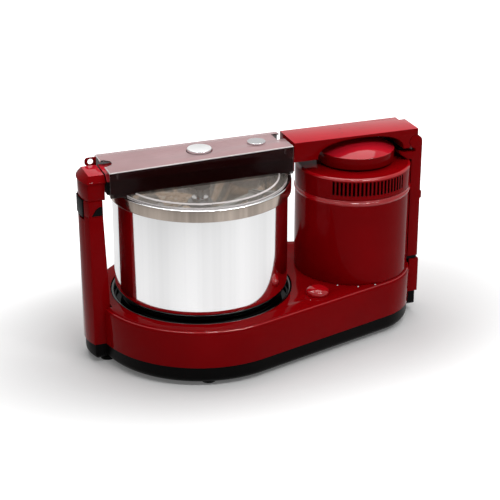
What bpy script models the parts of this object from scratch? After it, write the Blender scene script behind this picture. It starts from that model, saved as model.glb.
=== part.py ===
# Table-top wet grinder: a polished drum with conical roller stones on a red
# base, a motor tower, and an arm that swings up over both. Metres, +Z up.
# The origin is on the floor, half way along the machine, in its middle plane.
import bpy
import bmesh
from math import acos, asin, cos, pi, radians, sin, sqrt
from mathutils import Matrix, Vector

# Fits and facets
fit_gap = 0.0003
run_gap = 0.0005
overrun = 0.004
weld_distance = 0.00001
flat_angle = radians(0.05)
round_steps = 40
roller_steps = 24
hidden_steps = 16
small_steps = 14
tiny_steps = 8

# Space between the drum and the tower, and the plates that stand furthest out at both ends
latch_stand = 0.0013
block_stand = 0.0025
drum_tower_space = 0.0190

# Base cover and pan
base_big_radius = 0.1405
base_end_ledge = 0.0040
table_sink = 0.0048
cover_bottom = 0.0273
cover_wall = 0.0030
cover_edge_radius = 0.0060
cover_motor_hole_radius = 0.0600
pan_inset = 0.0015
pan_bottom = 0.0040
pan_wall = 0.0030
pan_floor = 0.0030
pan_edge_radius = 0.0100
boss_radius = 0.0055
boss_inset = 0.0445
boss_angles = (65, 125, 235, 295)
boss_tower_y = 0.0400
big_arc_steps = 30
end_arc_steps = 12

# Feet: places along the machine from the drum's axis, and across it
foot_radius = 0.0100
front_foot_back = 0.0300
front_foot_inset = 0.0235
end_foot_beyond = 0.0090
end_foot_inset = 0.0245
side_pad_back = 0.0950
side_pad_beyond = 0.0035
left_pad_inset = 0.0075
left_pad_y = 0.0130
pad_height = 0.0034

# Well dish and chassis
well_ledge = 0.0215
dish_wall = 0.0025
dish_rim_drop = 0.0006
chassis_inset = 0.0300
housing_drop = 0.0065
chassis_thickness = 0.0030

# Spindle, its bearings, the turntable and the big pulley
spindle_radius = 0.0075
spindle_tail = 0.0023
pulley_headroom = 0.0048
housing_rise = 0.0172
housing_radius = 0.0205
housing_wall = 0.0042
housing_flange_radius = 0.0340
housing_flange_thickness = 0.0030
spindle_bearing_height = 0.0080
spindle_bearing_margin = 0.0010
table_inset = 0.0075
table_rise = 0.0105
turntable_thickness = 0.0062
turntable_edge_radius = 0.0024
turntable_hub_radius = 0.0165
turntable_hub_depth = 0.0030
turntable_bore_depth = 0.0030
belt_lift = 0.0145
belt_width = 0.0090
belt_thickness = 0.0025
pulley_flange = 0.0032
pulley_lip = 0.0040
drive_boss_space = 0.0298
drive_web_thickness = 0.0040
drive_rim_thickness = 0.0050
drive_hub_radius = 0.0145
motor_groove_radius = 0.0097

# Drum, rim band and granite bed
rim_overhang = 0.0045
drum_wall = 0.0012
drum_height = 0.1543
drum_corner_radius = 0.0190
corner_steps = 4
rim_clearance = 0.0015
rim_height = 0.0155
rim_lift = 0.0017
rim_mouth_inset = 0.0080
rim_lip_thickness = 0.0014
rim_edge_radius = 0.0016
bed_thickness = 0.0200
post_radius = 0.0075
post_drop = 0.0413
post_flange_radius = 0.0170
post_flange_height = 0.0030

# Roller stones on their carrier
roller_angles = (90, 210, 330)
roller_tilt = 20
roller_inner_slant = 0.0300
roller_wall_space = 0.0110
roller_lift = 0.0004
roller_edge_radius = 0.0020
axle_radius = 0.0035
axle_clearance = 0.0006
axle_overhang = 0.0070
axle_inner_reach = 0.0120
nut_radius = 0.0072
nut_length = 0.0050
hub_radius = 0.0120
hub_collar_radius = 0.0190
hub_collar_height = 0.0215
hub_collar_lift = 0.0015
hub_drop = 0.0303
hub_cap_height = 0.0055
hub_cap_radius = 0.0160
scraper_angle = 30
scraper_drop = 0.0210
scraper_arm_height = 0.0060
scraper_arm_width = 0.0100
scraper_arm_inset = 0.0008
scraper_blade_rise = 0.0012
scraper_clamp_radius = 0.0180
scraper_blade_width = 0.0180
scraper_blade_thickness = 0.0035
scraper_wall_gap = 0.0025
scraper_bed_gap = 0.0015

# Motor tower
tower_radius = 0.0765
tower_wall = 0.0025
seam_drop = 0.0065
bead_width = 0.0045
bead_drop = 0.0025
bead_depth = 0.0010
cap_gap = 0.0026
ring_edge_radius = 0.0040
ring_plate_hole_radius = 0.0300
slot_count = 20
slot_turn = 4.0
slot_pitch = 4.0
slot_width = 0.0026
slot_height = 0.0185
slot_drop = 0.0047
cap_radius = 0.0510
cap_offset = 0.0035
cap_wall = 0.0025
cap_side_height = 0.0157
cap_dome_height = 0.0117
cap_headroom = 0.0091
cap_edge_radius = 0.0030
dome_rim_share = 0.90
cap_steps = 5
cap_inner_steps = 2
collar_inset = 0.0070
collar_wall = 0.0060

# Motor inside the tower
shaft_radius = 0.0040
shaft_tail = 0.0150
rotor_radius = 0.0240
rotor_inset = 0.0020
rotor_length = 0.0600
stator_gap = 0.0008
stator_radius = 0.0460
stator_lift = 0.0210
winding_inner_radius = 0.0280
winding_outer_radius = 0.0400
winding_height = 0.0090
winding_bundles = 4
bundle_radius = 0.0040
bundle_turn_share = 0.13
shield_wall = 0.0030
shield_flange_radius = 0.0530
shield_plate_thickness = 0.0030
shield_height = 0.0180
bearing_radius = 0.0110
bearing_height = 0.0070
bearing_seat_wall = 0.0040
fan_radius = 0.0400
fan_hub_radius = 0.0100
fan_lift = 0.0030
fan_plate = 0.0020
fan_blade_height = 0.0090
fan_blade_thickness = 0.0020
fan_blades = 7

# Posts at the two ends
post_half_width = 0.0264
post_flat_overlap = 0.0055
post_foot_overlap = 0.0115
post_corner_beyond = 0.0121
post_bow = 0.0066
bow_steps = 8
head_height = 0.0207
head_drop = 0.0068
insert_depth = 0.0140
insert_setback = 0.0012
insert_lift = 0.0015
insert_height = 0.0115
shoe_inset = 0.0020
shoe_edge_radius = 0.0080
shoe_lift = 0.0006
right_post_depth = 0.0220
post_inner_overlap = 0.0105
seal_height = 0.0049
head_inner_overhang = 0.0085
right_head_drop = 0.0025
head_slope_run = 0.0010
head_slope_drop = 0.0087
shoulder_drop = 0.0060
seal_lift = 0.0036
seal_inset = 0.0012
block_bottom = 0.0325
block_setback = 0.0010
block_inset = 0.0008
post_foot_setback = 0.0040
post_foot_inset = 0.0020
post_foot_half_width = 0.0235
post_foot_bottom = 0.0125
ridge_height = 0.0105
ridge_drop = 0.0483
ridge_depth = 0.0012
ridge_half_width = 0.0220

# Arm
pivot_inset = 0.0091
pivot_rise = 0.0075
ear_radius = 0.0091
ear_inner_y = 0.0160
ear_clearance = 0.0007
knuckle_half_width = 0.0155
hinge_pin_radius = 0.0030
hinge_pin_half_length = 0.0255
beam_half_width = 0.0264
beam_height = 0.0258
beam_step_height = 0.0120
beam_end_inset = 0.0067
beam_notch_length = 0.0088
beam_notch_y = 0.0150
step_clearance = 0.0030
beam_wall = 0.0025
beam_solid_length = 0.0253
arm_end_gap = 0.0015
arm_height = 0.0249
arm_lift = 0.0015
arm_hip_inset = 0.0074
arm_hip_drop = 0.0076
arch_half_length = 0.0610
arch_crown = 0.0030
arch_power = 2.4
arch_steps = 20
web_length = 0.0179
web_rise = 0.0010
web_drop = 0.0073
end_block_lead = 0.0050
end_block_overhang = 0.0008
end_block_hip = 0.0102
end_block_lip = 0.0014
end_block_body_inset = 0.0013

# Latch in the left post's head: a bowed plate on a barrel with two stub pins
latch_half_width = 0.0152
latch_thickness = 0.0020
latch_hang = 0.0015
latch_top_drop = 0.0005
latch_pivot_beyond = 0.0004
latch_pivot_rise = 0.0045
latch_barrel_radius = 0.0022
latch_pin_radius = 0.0012
latch_pin_half_length = 0.0197
latch_pocket_gap = 0.0007
latch_pocket_depth = 0.0040

# Pressure plunger in the arm
plunger_radius = 0.0050
plunger_foot_radius = 0.0110
plunger_foot_height = 0.0045
plunger_collar_radius = 0.0088
plunger_collar_height = 0.0020
collar_drop = 0.0078
plunger_cap_radius = 0.0158
plunger_cap_height = 0.0060
plunger_cap_edge = 0.0010
barrel_radius = 0.0135
barrel_wall = 0.0035
barrel_drop = 0.0145
barrel_floor = 0.0025
spring_radius = 0.0085
spring_wall = 0.0028

# Lid with its tunnel over the arm
lid_inset = 0.0053
lid_thickness = 0.0020
lid_step_inset = 0.0112
lid_step_height = 0.0016
lid_register_inset = 0.0037
lid_register_wall = 0.0020
lid_register_depth = 0.0040
tunnel_left_short = 0.0010
tunnel_tower_space = 0.0200
tunnel_left_half = 0.0370
tunnel_right_half = 0.0309
tunnel_left_rise = 0.0073
tunnel_right_rise = 0.0114
tunnel_wall = 0.0020
notch_radius = 0.0125
corner_notch_length = 0.0110
corner_notch_half = 0.0110
lid_hole_gap = 0.0010
lid_disc_inset = 0.0395
lid_disc_radius = 0.0119
lid_disc_height = 0.0018
rib_width = 0.0015
rib_depth = 0.0010
rib_height = 0.0080
rib_left_inset = 0.0100
rib_right_inset = 0.0115
loop_width = 0.0150
loop_height = 0.0110
loop_thickness = 0.0020
loop_hole_radius = 0.0036
loop_y = 0.0275
loop_top_drop = 0.0002

# Knob, switch and the cord's gland
knob_inset = 0.0795
knob_tower_beyond = 0.0015
knob_radius = 0.0150
knob_height = 0.0095
knob_edge = 0.0030
knob_shaft_radius = 0.0035
knob_shaft_gap = 0.0010
knob_grip_width = 0.0030
knob_grip_height = 0.0012
knob_grip_length = 0.0180
switch_size = 0.0240
switch_height = 0.0210
gland_facet = 10
gland_rise = 0.0227
gland_flange_radius = 0.0085
gland_flange_height = 0.0050
gland_neck_radius = 0.0060
gland_nut_height = 0.0040
gland_bore_radius = 0.0034

# Widths, places and heights that follow from the values above
base_end_radius = tower_radius + base_end_ledge
well_radius = base_big_radius - well_ledge
rim_radius = well_radius - rim_clearance
drum_radius = rim_radius - rim_overhang
turntable_radius = drum_radius - table_inset
rim_mouth_radius = rim_radius - rim_mouth_inset
lid_radius = rim_radius - lid_inset
lid_step_radius = lid_radius - lid_step_inset
lid_register_radius = lid_radius - lid_register_inset
roller_outer_slant = drum_radius - roller_wall_space
boss_ring_radius = base_big_radius - boss_inset
drive_groove_radius = boss_ring_radius - drive_boss_space
tower_offset = rim_radius + tower_radius + drum_tower_space
left_post_inner_foot = base_big_radius - post_foot_overlap
left_post_flat = base_big_radius - post_flat_overlap
left_post_corner = base_big_radius + post_corner_beyond
left_post_reach = left_post_corner + post_bow
left_reach = left_post_reach + latch_stand
insert_low_x = left_post_flat + insert_depth
insert_high_x = left_post_flat + insert_setback
end_block_right = left_post_flat - end_block_lead
end_block_reach = left_post_reach + end_block_overhang
end_block_top_reach = end_block_reach - end_block_hip
latch_pivot_x = left_post_corner + latch_pivot_beyond
arm_left = end_block_right - arm_end_gap
tunnel_left = arm_left - tunnel_left_short
tunnel_right = tower_offset - tower_radius - tunnel_tower_space
beam_step = tunnel_right + step_clearance
lid_disc_offset = tunnel_right - lid_disc_inset
rib_left_offset = tunnel_left - rib_left_inset
rib_right_offset = tunnel_right - rib_right_inset
knob_offset = tower_offset - knob_inset
right_post_inner = tower_offset + tower_radius - post_inner_overlap
right_post_face = right_post_inner + right_post_depth
right_head_inner = right_post_inner - head_inner_overhang
right_head_slope_x = right_post_inner + head_slope_run
block_inner = right_post_inner + block_setback
right_reach = right_post_face + block_stand
pivot_offset = right_post_face - pivot_inset
beam_end = right_post_face - beam_end_inset
beam_notch_x = beam_end - beam_notch_length
beam_solid_from = beam_end - beam_solid_length
web_start = pivot_offset - web_length
post_foot_low_x = block_inner + post_foot_setback
post_foot_high_x = right_reach - post_foot_inset
drum_x = (left_reach - right_reach) / 2
tower_x = drum_x + tower_offset
cap_x = tower_x + cap_offset
foot_places = ((-front_foot_back, base_big_radius - front_foot_inset),
               (tower_offset + end_foot_beyond, base_end_radius - end_foot_inset))
pad_places = ((tower_offset - side_pad_back, base_end_radius + side_pad_beyond),
              (left_pad_inset - base_big_radius, left_pad_y))
knob_y = -tower_radius - knob_tower_beyond
belt_bottom = pan_bottom + pan_floor + belt_lift
housing_bottom = belt_bottom + belt_width + pulley_flange + pulley_headroom
spindle_bottom = belt_bottom - pulley_flange - spindle_tail
shaft_bottom = spindle_bottom
chassis_top = housing_bottom + housing_drop
housing_top = chassis_top + housing_rise
dish_floor_top = housing_top + fit_gap
turntable_top = dish_floor_top + table_rise
base_top = turntable_top + table_sink
seal_bottom = base_top + seal_lift
right_post_bottom = seal_bottom + seal_height
stator_bottom = chassis_top + stator_lift
rotor_bottom = stator_bottom + rotor_inset
rotor_top = rotor_bottom + rotor_length
stator_top = rotor_top + rotor_inset
upper_shield_top = stator_top + shield_height
fan_bottom = upper_shield_top + fan_lift
shaft_top = fan_bottom + shaft_tail
drum_top = turntable_top + drum_height
rim_top = drum_top + rim_lift
rim_bottom = rim_top - rim_height
post_top = drum_top - post_drop
hub_top = drum_top - hub_drop
scraper_arm_top = hub_top - scraper_drop
arm_bottom = rim_top + arm_lift
arm_top = arm_bottom + arm_height
beam_bottom = arm_bottom + beam_step_height
beam_top = beam_bottom + beam_height
arch_height = beam_height - arch_crown
pivot_z = beam_bottom + pivot_rise
web_bottom = beam_bottom + web_rise
web_top = beam_top - web_drop
tunnel_left_top = arm_top + tunnel_left_rise
tunnel_right_top = arm_top + tunnel_right_rise
head_top = arm_bottom - head_drop
end_block_bottom = head_top + fit_gap
left_post_top = head_top - head_height
insert_bottom = left_post_top + insert_lift
insert_top = insert_bottom + insert_height
latch_bottom = left_post_top - latch_hang
latch_top = head_top - latch_top_drop
latch_pivot_z = left_post_top + latch_pivot_rise
latch_pocket_bottom = latch_bottom - latch_pocket_depth
right_shoulder = beam_bottom - shoulder_drop
right_head_slope_z = right_shoulder - head_slope_drop
ridge_top = right_head_slope_z - ridge_drop
ridge_bottom = ridge_top - ridge_height
cap_top = beam_top - arch_crown - cap_headroom
cap_side_top = cap_top - cap_dome_height
collar_radius = cap_radius - collar_inset
cap_bottom = cap_side_top - cap_side_height
ring_top = cap_bottom - cap_gap
slot_top = ring_top - slot_drop
slot_bottom = slot_top - slot_height
tower_seam = slot_bottom - seam_drop
plunger_collar_bottom = drum_top - collar_drop
barrel_bottom = arm_bottom - barrel_drop
gland_z = cover_bottom + gland_rise
cover_hole_radius = well_radius + fit_gap
pan_top = cover_bottom - fit_gap
pan_floor_top = pan_bottom + pan_floor
drum_bottom = turntable_top + fit_gap
drum_floor_top = drum_bottom + drum_wall
bed_bottom = drum_floor_top + fit_gap
bed_top = bed_bottom + bed_thickness
chassis_bottom = chassis_top - chassis_thickness
boss_top = chassis_bottom - fit_gap
pivot_x = drum_x + pivot_offset
lid_bottom = rim_top + fit_gap
plunger_foot_bottom = hub_top + run_gap
pulley_bottom = belt_bottom - pulley_flange
pulley_top = belt_bottom + belt_width + pulley_flange
tower_bottom = base_top + fit_gap
ring_bottom = tower_seam + fit_gap
channel_top = arm_top - arm_hip_drop - beam_wall


def clear_scene():
    for item in list(bpy.data.objects):
        bpy.data.objects.remove(item, do_unlink=True)


def make_material(name, colour, roughness, metallic):
    made = bpy.data.materials.new(name)
    made.use_nodes = True
    shader = made.node_tree.nodes["Principled BSDF"]
    shader.inputs["Base Color"].default_value = (*colour, 1)
    shader.inputs["Roughness"].default_value = roughness
    shader.inputs["Metallic"].default_value = metallic
    return made


clear_scene()
parts = bpy.data.collections.new("wet_grinder")
cutters = bpy.data.collections.new("cutters")
bpy.context.scene.collection.children.link(parts)
bpy.context.scene.collection.children.link(cutters)

RED = ((0.40, 0.008, 0.012), 0.18, 0.0)
BLACK = ((0.015, 0.015, 0.016), 0.25, 0.0)
RUBBER = ((0.02, 0.02, 0.02), 0.8, 0.0)
STEEL = ((0.82, 0.82, 0.82), 0.12, 1.0)
DULL_STEEL = ((0.55, 0.55, 0.55), 0.4, 1.0)
GRANITE = ((0.36, 0.35, 0.33), 0.7, 0.0)
STONE = ((0.55, 0.47, 0.38), 0.7, 0.0)
SMOKED = ((0.55, 0.50, 0.50), 0.1, 0.0)
WHITE = ((0.75, 0.75, 0.73), 0.35, 0.0)
COPPER = ((0.60, 0.28, 0.14), 0.35, 1.0)
CAST = ((0.30, 0.31, 0.32), 0.5, 1.0)


def place(name, mesh, look, collection=None):
    made = bpy.data.objects.new(name, mesh)
    (collection or parts).objects.link(made)
    if look is not None:
        mesh.materials.clear()
        mesh.materials.append(make_material(name, *look))
    else:
        made.hide_render = True
        made.display_type = "WIRE"
    return made


def home(look):
    return parts if look is not None else cutters


def smooth(obj, angle=32):
    obj.data.shade_smooth()
    obj.data.set_sharp_from_angle(angle=radians(angle))
    return obj


def outward(form):
    bmesh.ops.recalc_face_normals(form, faces=form.faces)
    if form.calc_volume(signed=True) < 0:
        bmesh.ops.reverse_faces(form, faces=form.faces)


def from_bmesh(name, form, look):
    mesh = bpy.data.meshes.new(name)
    form.to_mesh(mesh)
    form.free()
    return place(name, mesh, look, home(look))


def turned(name, profile, look, at=(0, 0, 0), steps=round_steps, closed=True):
    """A profile of (radius, height) points turned about the vertical through at."""
    mesh = bpy.data.meshes.new(name)
    points = [(r, 0, z) for r, z in profile]
    edges = [(i, i + 1) for i in range(len(points) - 1)]
    if closed:
        edges.append((len(points) - 1, 0))
    mesh.from_pydata(points, edges, [])
    made = place(name, mesh, look, home(look))
    made.location = at
    screw = made.modifiers.new("turn", "SCREW")
    screw.steps = screw.render_steps = steps
    screw.use_merge_vertices = True
    screw.merge_threshold = weld_distance
    screw.use_smooth_shade = True
    return made


def block(name, low, high, look):
    form = bmesh.new()
    bmesh.ops.create_cube(form, size=1)
    size = [b - a for a, b in zip(low, high)]
    middle = [(a + b) / 2 for a, b in zip(low, high)]
    bmesh.ops.scale(form, vec=size, verts=form.verts)
    bmesh.ops.translate(form, vec=middle, verts=form.verts)
    return from_bmesh(name, form, look)


def rod(name, radius, start, end, look, steps=small_steps, end_radius=None):
    form = bmesh.new()
    start, end = Vector(start), Vector(end)
    run = end - start
    turn = run.to_track_quat("Z", "Y").to_matrix().to_4x4()
    bmesh.ops.create_cone(form, cap_ends=True, segments=steps, radius1=radius,
                          radius2=radius if end_radius is None else end_radius, depth=run.length)
    bmesh.ops.transform(form, matrix=Matrix.Translation((start + end) / 2) @ turn, verts=form.verts)
    return smooth(from_bmesh(name, form, look))


def slab(name, outline, low, high, look, along="Z"):
    """A flat outline given a thickness from low to high along Z, or along Y."""
    curve = bpy.data.curves.new(name + "_outline", "CURVE")
    curve.dimensions = "2D"
    curve.fill_mode = "BOTH"
    curve.extrude = (high - low) / 2
    spline = curve.splines.new("POLY")
    spline.points.add(len(outline) - 1)
    for point, (u, v) in zip(spline.points, outline):
        point.co = (u, v, 0, 1)
    spline.use_cyclic_u = True
    drawn = bpy.data.objects.new(name + "_outline", curve)
    bpy.context.scene.collection.objects.link(drawn)
    graph = bpy.context.evaluated_depsgraph_get()
    mesh = bpy.data.meshes.new_from_object(drawn.evaluated_get(graph))
    bpy.data.objects.remove(drawn, do_unlink=True)
    form = bmesh.new()
    form.from_mesh(mesh)
    bmesh.ops.remove_doubles(form, verts=form.verts, dist=weld_distance)
    bmesh.ops.dissolve_limit(form, angle_limit=flat_angle, verts=form.verts, edges=form.edges)
    if along == "Y":
        bmesh.ops.rotate(form, cent=(0, 0, 0), matrix=Matrix.Rotation(radians(90), 3, "X"), verts=form.verts)
        bmesh.ops.translate(form, vec=(0, (low + high) / 2, 0), verts=form.verts)
    else:
        bmesh.ops.translate(form, vec=(0, 0, (low + high) / 2), verts=form.verts)
    outward(form)
    mesh.name = name
    form.to_mesh(mesh)
    form.free()
    return place(name, mesh, look, home(look))


def soften(obj, chosen, width, segments=3):
    """Round the edges whose two ends both satisfy chosen."""
    mesh = obj.data
    weights = mesh.attributes.new("bevel_weight_edge", "FLOAT", "EDGE")
    for edge in mesh.edges:
        ends = [mesh.vertices[i].co for i in edge.vertices]
        weights.data[edge.index].value = 1.0 if all(chosen(p) for p in ends) else 0.0
    bevel = obj.modifiers.new("soften", "BEVEL")
    bevel.limit_method = "WEIGHT"
    bevel.width = width
    bevel.segments = segments
    bevel.use_clamp_overlap = False
    return obj


def cut(obj, *tools):
    for tool in tools:
        change = obj.modifiers.new("cut " + tool.name, "BOOLEAN")
        change.operation = "DIFFERENCE"
        change.solver = "EXACT"
        change.object = tool
    return obj


def join(obj, *tools):
    for tool in tools:
        change = obj.modifiers.new("join " + tool.name, "BOOLEAN")
        change.operation = "UNION"
        change.solver = "EXACT"
        change.object = tool
    return obj


def group(name, pieces, look):
    """Several separate solids held by one object."""
    form = bmesh.new()
    graph = bpy.context.evaluated_depsgraph_get()
    for piece in pieces:
        mesh = bpy.data.meshes.new_from_object(piece.evaluated_get(graph))
        mesh.transform(piece.matrix_world)
        form.from_mesh(mesh)
        bpy.data.meshes.remove(mesh)
        bpy.data.objects.remove(piece, do_unlink=True)
    return smooth(from_bmesh(name, form, look))


def arc(centre, radius, start, end, steps, second=None):
    other = radius if second is None else second
    return [(centre[0] + radius * cos(radians(start + (end - start) * i / steps)),
             centre[1] + other * sin(radians(start + (end - start) * i / steps)))
            for i in range(steps + 1)]


def outline_lean(big, end):
    """Angle at which the two tangents leave a circle over the drum and one under the tower."""
    return acos((big - end) / tower_offset) * 180 / pi


def teardrop(inset):
    """Outline of the base: the drum's circle, the tower's circle and their two tangents."""
    big, end = base_big_radius - inset, base_end_radius - inset
    lean = outline_lean(big, end)
    outline = arc((drum_x, 0), big, lean, 360 - lean, big_arc_steps)
    outline += arc((tower_x, 0), end, -lean, lean, end_arc_steps)
    return outline


def bow(reach, half, inset=0.0):
    """Arc of the left post's outer face between its two corners, moved inwards by inset."""
    rise = left_post_reach - left_post_corner
    radius = (post_half_width ** 2 + rise ** 2) / (2 * rise)
    swing = asin(half / (radius - inset)) * 180 / pi
    return arc((drum_x - reach + radius, 0), radius - inset, 180 - swing, 180 + swing, bow_steps)


def post_outline(flat, inset=0.0, reach=left_post_reach):
    """The left post's section: flat towards the drum, with straight sides and a bowed outer face."""
    half = post_half_width - inset
    return [(drum_x - flat - inset, -half), (drum_x - flat - inset, half)] + bow(reach, half, inset)


def ring(outer, inner, low, high):
    return [(outer, high), (outer, low), (inner, low), (inner, high)]


def round_edge(radius_centre, height_centre, radius, start, end, steps=3):
    return arc((radius_centre, height_centre), radius, start, end, steps)


def tower_cutter(name, radius, low, high):
    return rod(name, radius, (tower_x, 0, low), (tower_x, 0, high), None, steps=round_steps)


def drum_cutter(name, radius, low, high):
    return rod(name, radius, (drum_x, 0, low), (drum_x, 0, high), None, steps=round_steps)


# Base cover: a shell open below, with the well, the motor hole and the seats of the posts
at_cover_top = lambda p: p.z > base_top - fit_gap
base_cover = slab("base_cover", teardrop(0), cover_bottom, base_top, RED)
soften(base_cover, at_cover_top, cover_edge_radius, 3)
cover_inner = slab("cover_inner", teardrop(cover_wall), cover_bottom - overrun, base_top - cover_wall, None)
soften(cover_inner, lambda p: p.z > base_top - cover_wall - fit_gap, cover_edge_radius - cover_wall, 1)
left_seat = slab("left_seat", post_outline(left_post_inner_foot - fit_gap, -fit_gap),
                 pan_bottom - overrun, base_top + overrun, None)
cut(base_cover, cover_inner,
    drum_cutter("well_hole", cover_hole_radius, base_top - overrun, base_top + overrun),
    tower_cutter("motor_hole", cover_motor_hole_radius, base_top - overrun, base_top + overrun),
    rod("knob_hole", knob_shaft_radius + knob_shaft_gap,
        (drum_x + knob_offset, knob_y, base_top - overrun),
        (drum_x + knob_offset, knob_y, base_top + overrun), None, steps=tiny_steps),
    left_seat)
facet_half = outline_lean(base_big_radius, base_end_radius) / end_arc_steps
gland_angle = facet_half * (2 * gland_facet + 1 - end_arc_steps)
gland_way = Vector((cos(radians(gland_angle)), sin(radians(gland_angle)), 0))
gland_wall = Vector((tower_x, 0, gland_z)) + gland_way * base_end_radius * cos(radians(facet_half))
cut(base_cover, rod("gland_hole", gland_neck_radius + fit_gap, gland_wall - gland_way * overrun * 2,
                    gland_wall + gland_way * overrun, None))

# Base pan: a black tray with bosses for the chassis
base_pan = slab("base_pan", teardrop(pan_inset), pan_bottom, pan_top, BLACK)
soften(base_pan, lambda p: p.z < pan_bottom + fit_gap, pan_edge_radius, 2)
pan_inner = slab("pan_inner", teardrop(pan_inset + pan_wall), pan_floor_top, pan_top + overrun, None)
soften(pan_inner, lambda p: p.z < pan_floor_top + fit_gap, pan_edge_radius - pan_wall, 1)
boss_places = [(drum_x + boss_ring_radius * cos(radians(a)), boss_ring_radius * sin(radians(a)))
               for a in boss_angles]
boss_places += [(tower_x, boss_tower_y), (tower_x, -boss_tower_y)]
cut(base_pan, pan_inner)
for number, (x, y) in enumerate(boss_places):
    join(base_pan, rod("boss_%d" % number, boss_radius, (x, y, pan_floor_top - fit_gap),
                       (x, y, boss_top), None, steps=tiny_steps))
for along, across in pad_places:
    for side in (-1, 1):
        x, y = drum_x + along, side * across
        join(base_pan, rod("pad", foot_radius, (x, y, pan_bottom - pad_height),
                           (x, y, pan_bottom + pan_floor / 2), None))
shoe = slab("left_shoe", post_outline(left_post_inner_foot, shoe_inset), pan_bottom + shoe_lift,
            pan_top - fit_gap, None)
soften(shoe, lambda p: p.z < pan_bottom + shoe_lift + fit_gap, shoe_edge_radius, 2)
post_foot = block("right_post_foot", (drum_x + post_foot_low_x, -post_foot_half_width, post_foot_bottom),
                  (drum_x + post_foot_high_x, post_foot_half_width, block_bottom - fit_gap), None)
cut(post_foot, tower_cutter("foot_space", base_end_radius + run_gap, pan_top - fit_gap,
                            block_bottom + overrun))
join(base_pan, shoe, post_foot)

for number, (along, across, side) in enumerate([(*place_, side_) for place_ in foot_places
                                                for side_ in (-1, 1)], 1):
    rod("rubber_foot_%d" % number, foot_radius, (drum_x + along, side * across, 0),
        (drum_x + along, side * across, pan_bottom - fit_gap), RUBBER)

# Well dish under the turntable
dish_top = base_top - dish_rim_drop
turned("well_dish", [
    (well_radius, dish_top), (well_radius, dish_floor_top - dish_wall),
    (housing_radius + 2 * run_gap, dish_floor_top - dish_wall),
    (housing_radius + 2 * run_gap, dish_floor_top),
    (well_radius - dish_wall, dish_floor_top), (well_radius - dish_wall, dish_top)], BLACK, (drum_x, 0, 0))

# Chassis plate
chassis = slab("chassis_plate", teardrop(chassis_inset), chassis_bottom, chassis_top, DULL_STEEL)
cut(chassis, drum_cutter("chassis_drum_hole", housing_radius + fit_gap, chassis_bottom - overrun,
                         chassis_top + overrun),
    tower_cutter("chassis_motor_hole", motor_groove_radius + belt_thickness + pulley_lip,
                 chassis_bottom - overrun, chassis_top + overrun))

# Spindle bearings and their housing on the chassis
flange_bottom = chassis_top + fit_gap
housing_bore = housing_radius - housing_wall
turned("bearing_housing", [
    (housing_radius, housing_top), (housing_radius, flange_bottom + housing_flange_thickness),
    (housing_flange_radius, flange_bottom + housing_flange_thickness), (housing_flange_radius, flange_bottom),
    (housing_radius, flange_bottom), (housing_radius, housing_bottom),
    (housing_bore, housing_bottom), (housing_bore, housing_top)], CAST, (drum_x, 0, 0), hidden_steps)
spindle_bearing_profile = lambda low: ring(housing_bore - fit_gap, spindle_radius + fit_gap, low,
                                           low + spindle_bearing_height)
spindle_bearing_lows = (housing_bottom + spindle_bearing_margin,
                        housing_top - spindle_bearing_margin - spindle_bearing_height)
for level, low in zip(("lower", "upper"), spindle_bearing_lows):
    turned(level + "_spindle_bearing", spindle_bearing_profile(low), DULL_STEEL, (drum_x, 0, 0), small_steps)
turned("drive_spindle", [(0, turntable_top - turntable_bore_depth - fit_gap),
                         (spindle_radius, turntable_top - turntable_bore_depth - fit_gap),
                         (spindle_radius, spindle_bottom), (0, spindle_bottom)],
       STEEL, (drum_x, 0, 0), small_steps, closed=False)

# Turntable
table_bottom = turntable_top - turntable_thickness
table_edge_x = turntable_radius - turntable_edge_radius
turned("turntable",
       [(0, turntable_top)]
       + round_edge(table_edge_x, turntable_top - turntable_edge_radius, turntable_edge_radius, 90, 0)
       + round_edge(table_edge_x, table_bottom + turntable_edge_radius, turntable_edge_radius, 0, -90)
       + [(turntable_hub_radius, table_bottom), (turntable_hub_radius, table_bottom - turntable_hub_depth),
          (spindle_radius + fit_gap, table_bottom - turntable_hub_depth),
          (spindle_radius + fit_gap, turntable_top - turntable_bore_depth),
          (0, turntable_top - turntable_bore_depth)], BLACK, (drum_x, 0, 0), closed=False)


# Belt drive
def pulley(name, groove, hub, bore, web, look, x, steps):
    lip = groove + belt_thickness + pulley_lip / 2
    groove_low, groove_high = belt_bottom - fit_gap, belt_bottom + belt_width + fit_gap
    outer = [(lip, pulley_top), (lip, groove_high), (groove, groove_high), (groove, groove_low),
             (lip, groove_low), (lip, pulley_bottom)]
    if web is None:
        inner = [(bore, pulley_bottom), (bore, pulley_top)]
    else:
        rim = groove - drive_rim_thickness
        middle = (pulley_bottom + pulley_top) / 2
        inner = [(rim, pulley_bottom), (rim, middle - web / 2), (hub, middle - web / 2), (hub, pulley_bottom),
                 (bore, pulley_bottom), (bore, pulley_top), (hub, pulley_top), (hub, middle + web / 2),
                 (rim, middle + web / 2), (rim, pulley_top)]
    return turned(name, outer + inner, look, (x, 0, 0), steps)


pulley("drive_pulley", drive_groove_radius, drive_hub_radius, spindle_radius + fit_gap,
       drive_web_thickness, BLACK, drum_x, hidden_steps + tiny_steps)
pulley("motor_pulley", motor_groove_radius, 0, shaft_radius + fit_gap, None, DULL_STEEL, tower_x, small_steps)


def belt_outline(extra):
    big, small = drive_groove_radius + fit_gap + extra, motor_groove_radius + fit_gap + extra
    lean = outline_lean(big, small)
    big /= cos(radians(180 - lean) / hidden_steps)
    small /= cos(radians(lean) / tiny_steps)
    return (arc((drum_x, 0), big, lean, 360 - lean, hidden_steps)
            + arc((tower_x, 0), small, -lean, lean, tiny_steps))


drive_belt = slab("drive_belt", belt_outline(belt_thickness), belt_bottom, belt_bottom + belt_width, RUBBER)
cut(drive_belt, slab("belt_inner", belt_outline(0), belt_bottom - overrun,
                     belt_bottom + belt_width + overrun, None))

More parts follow.
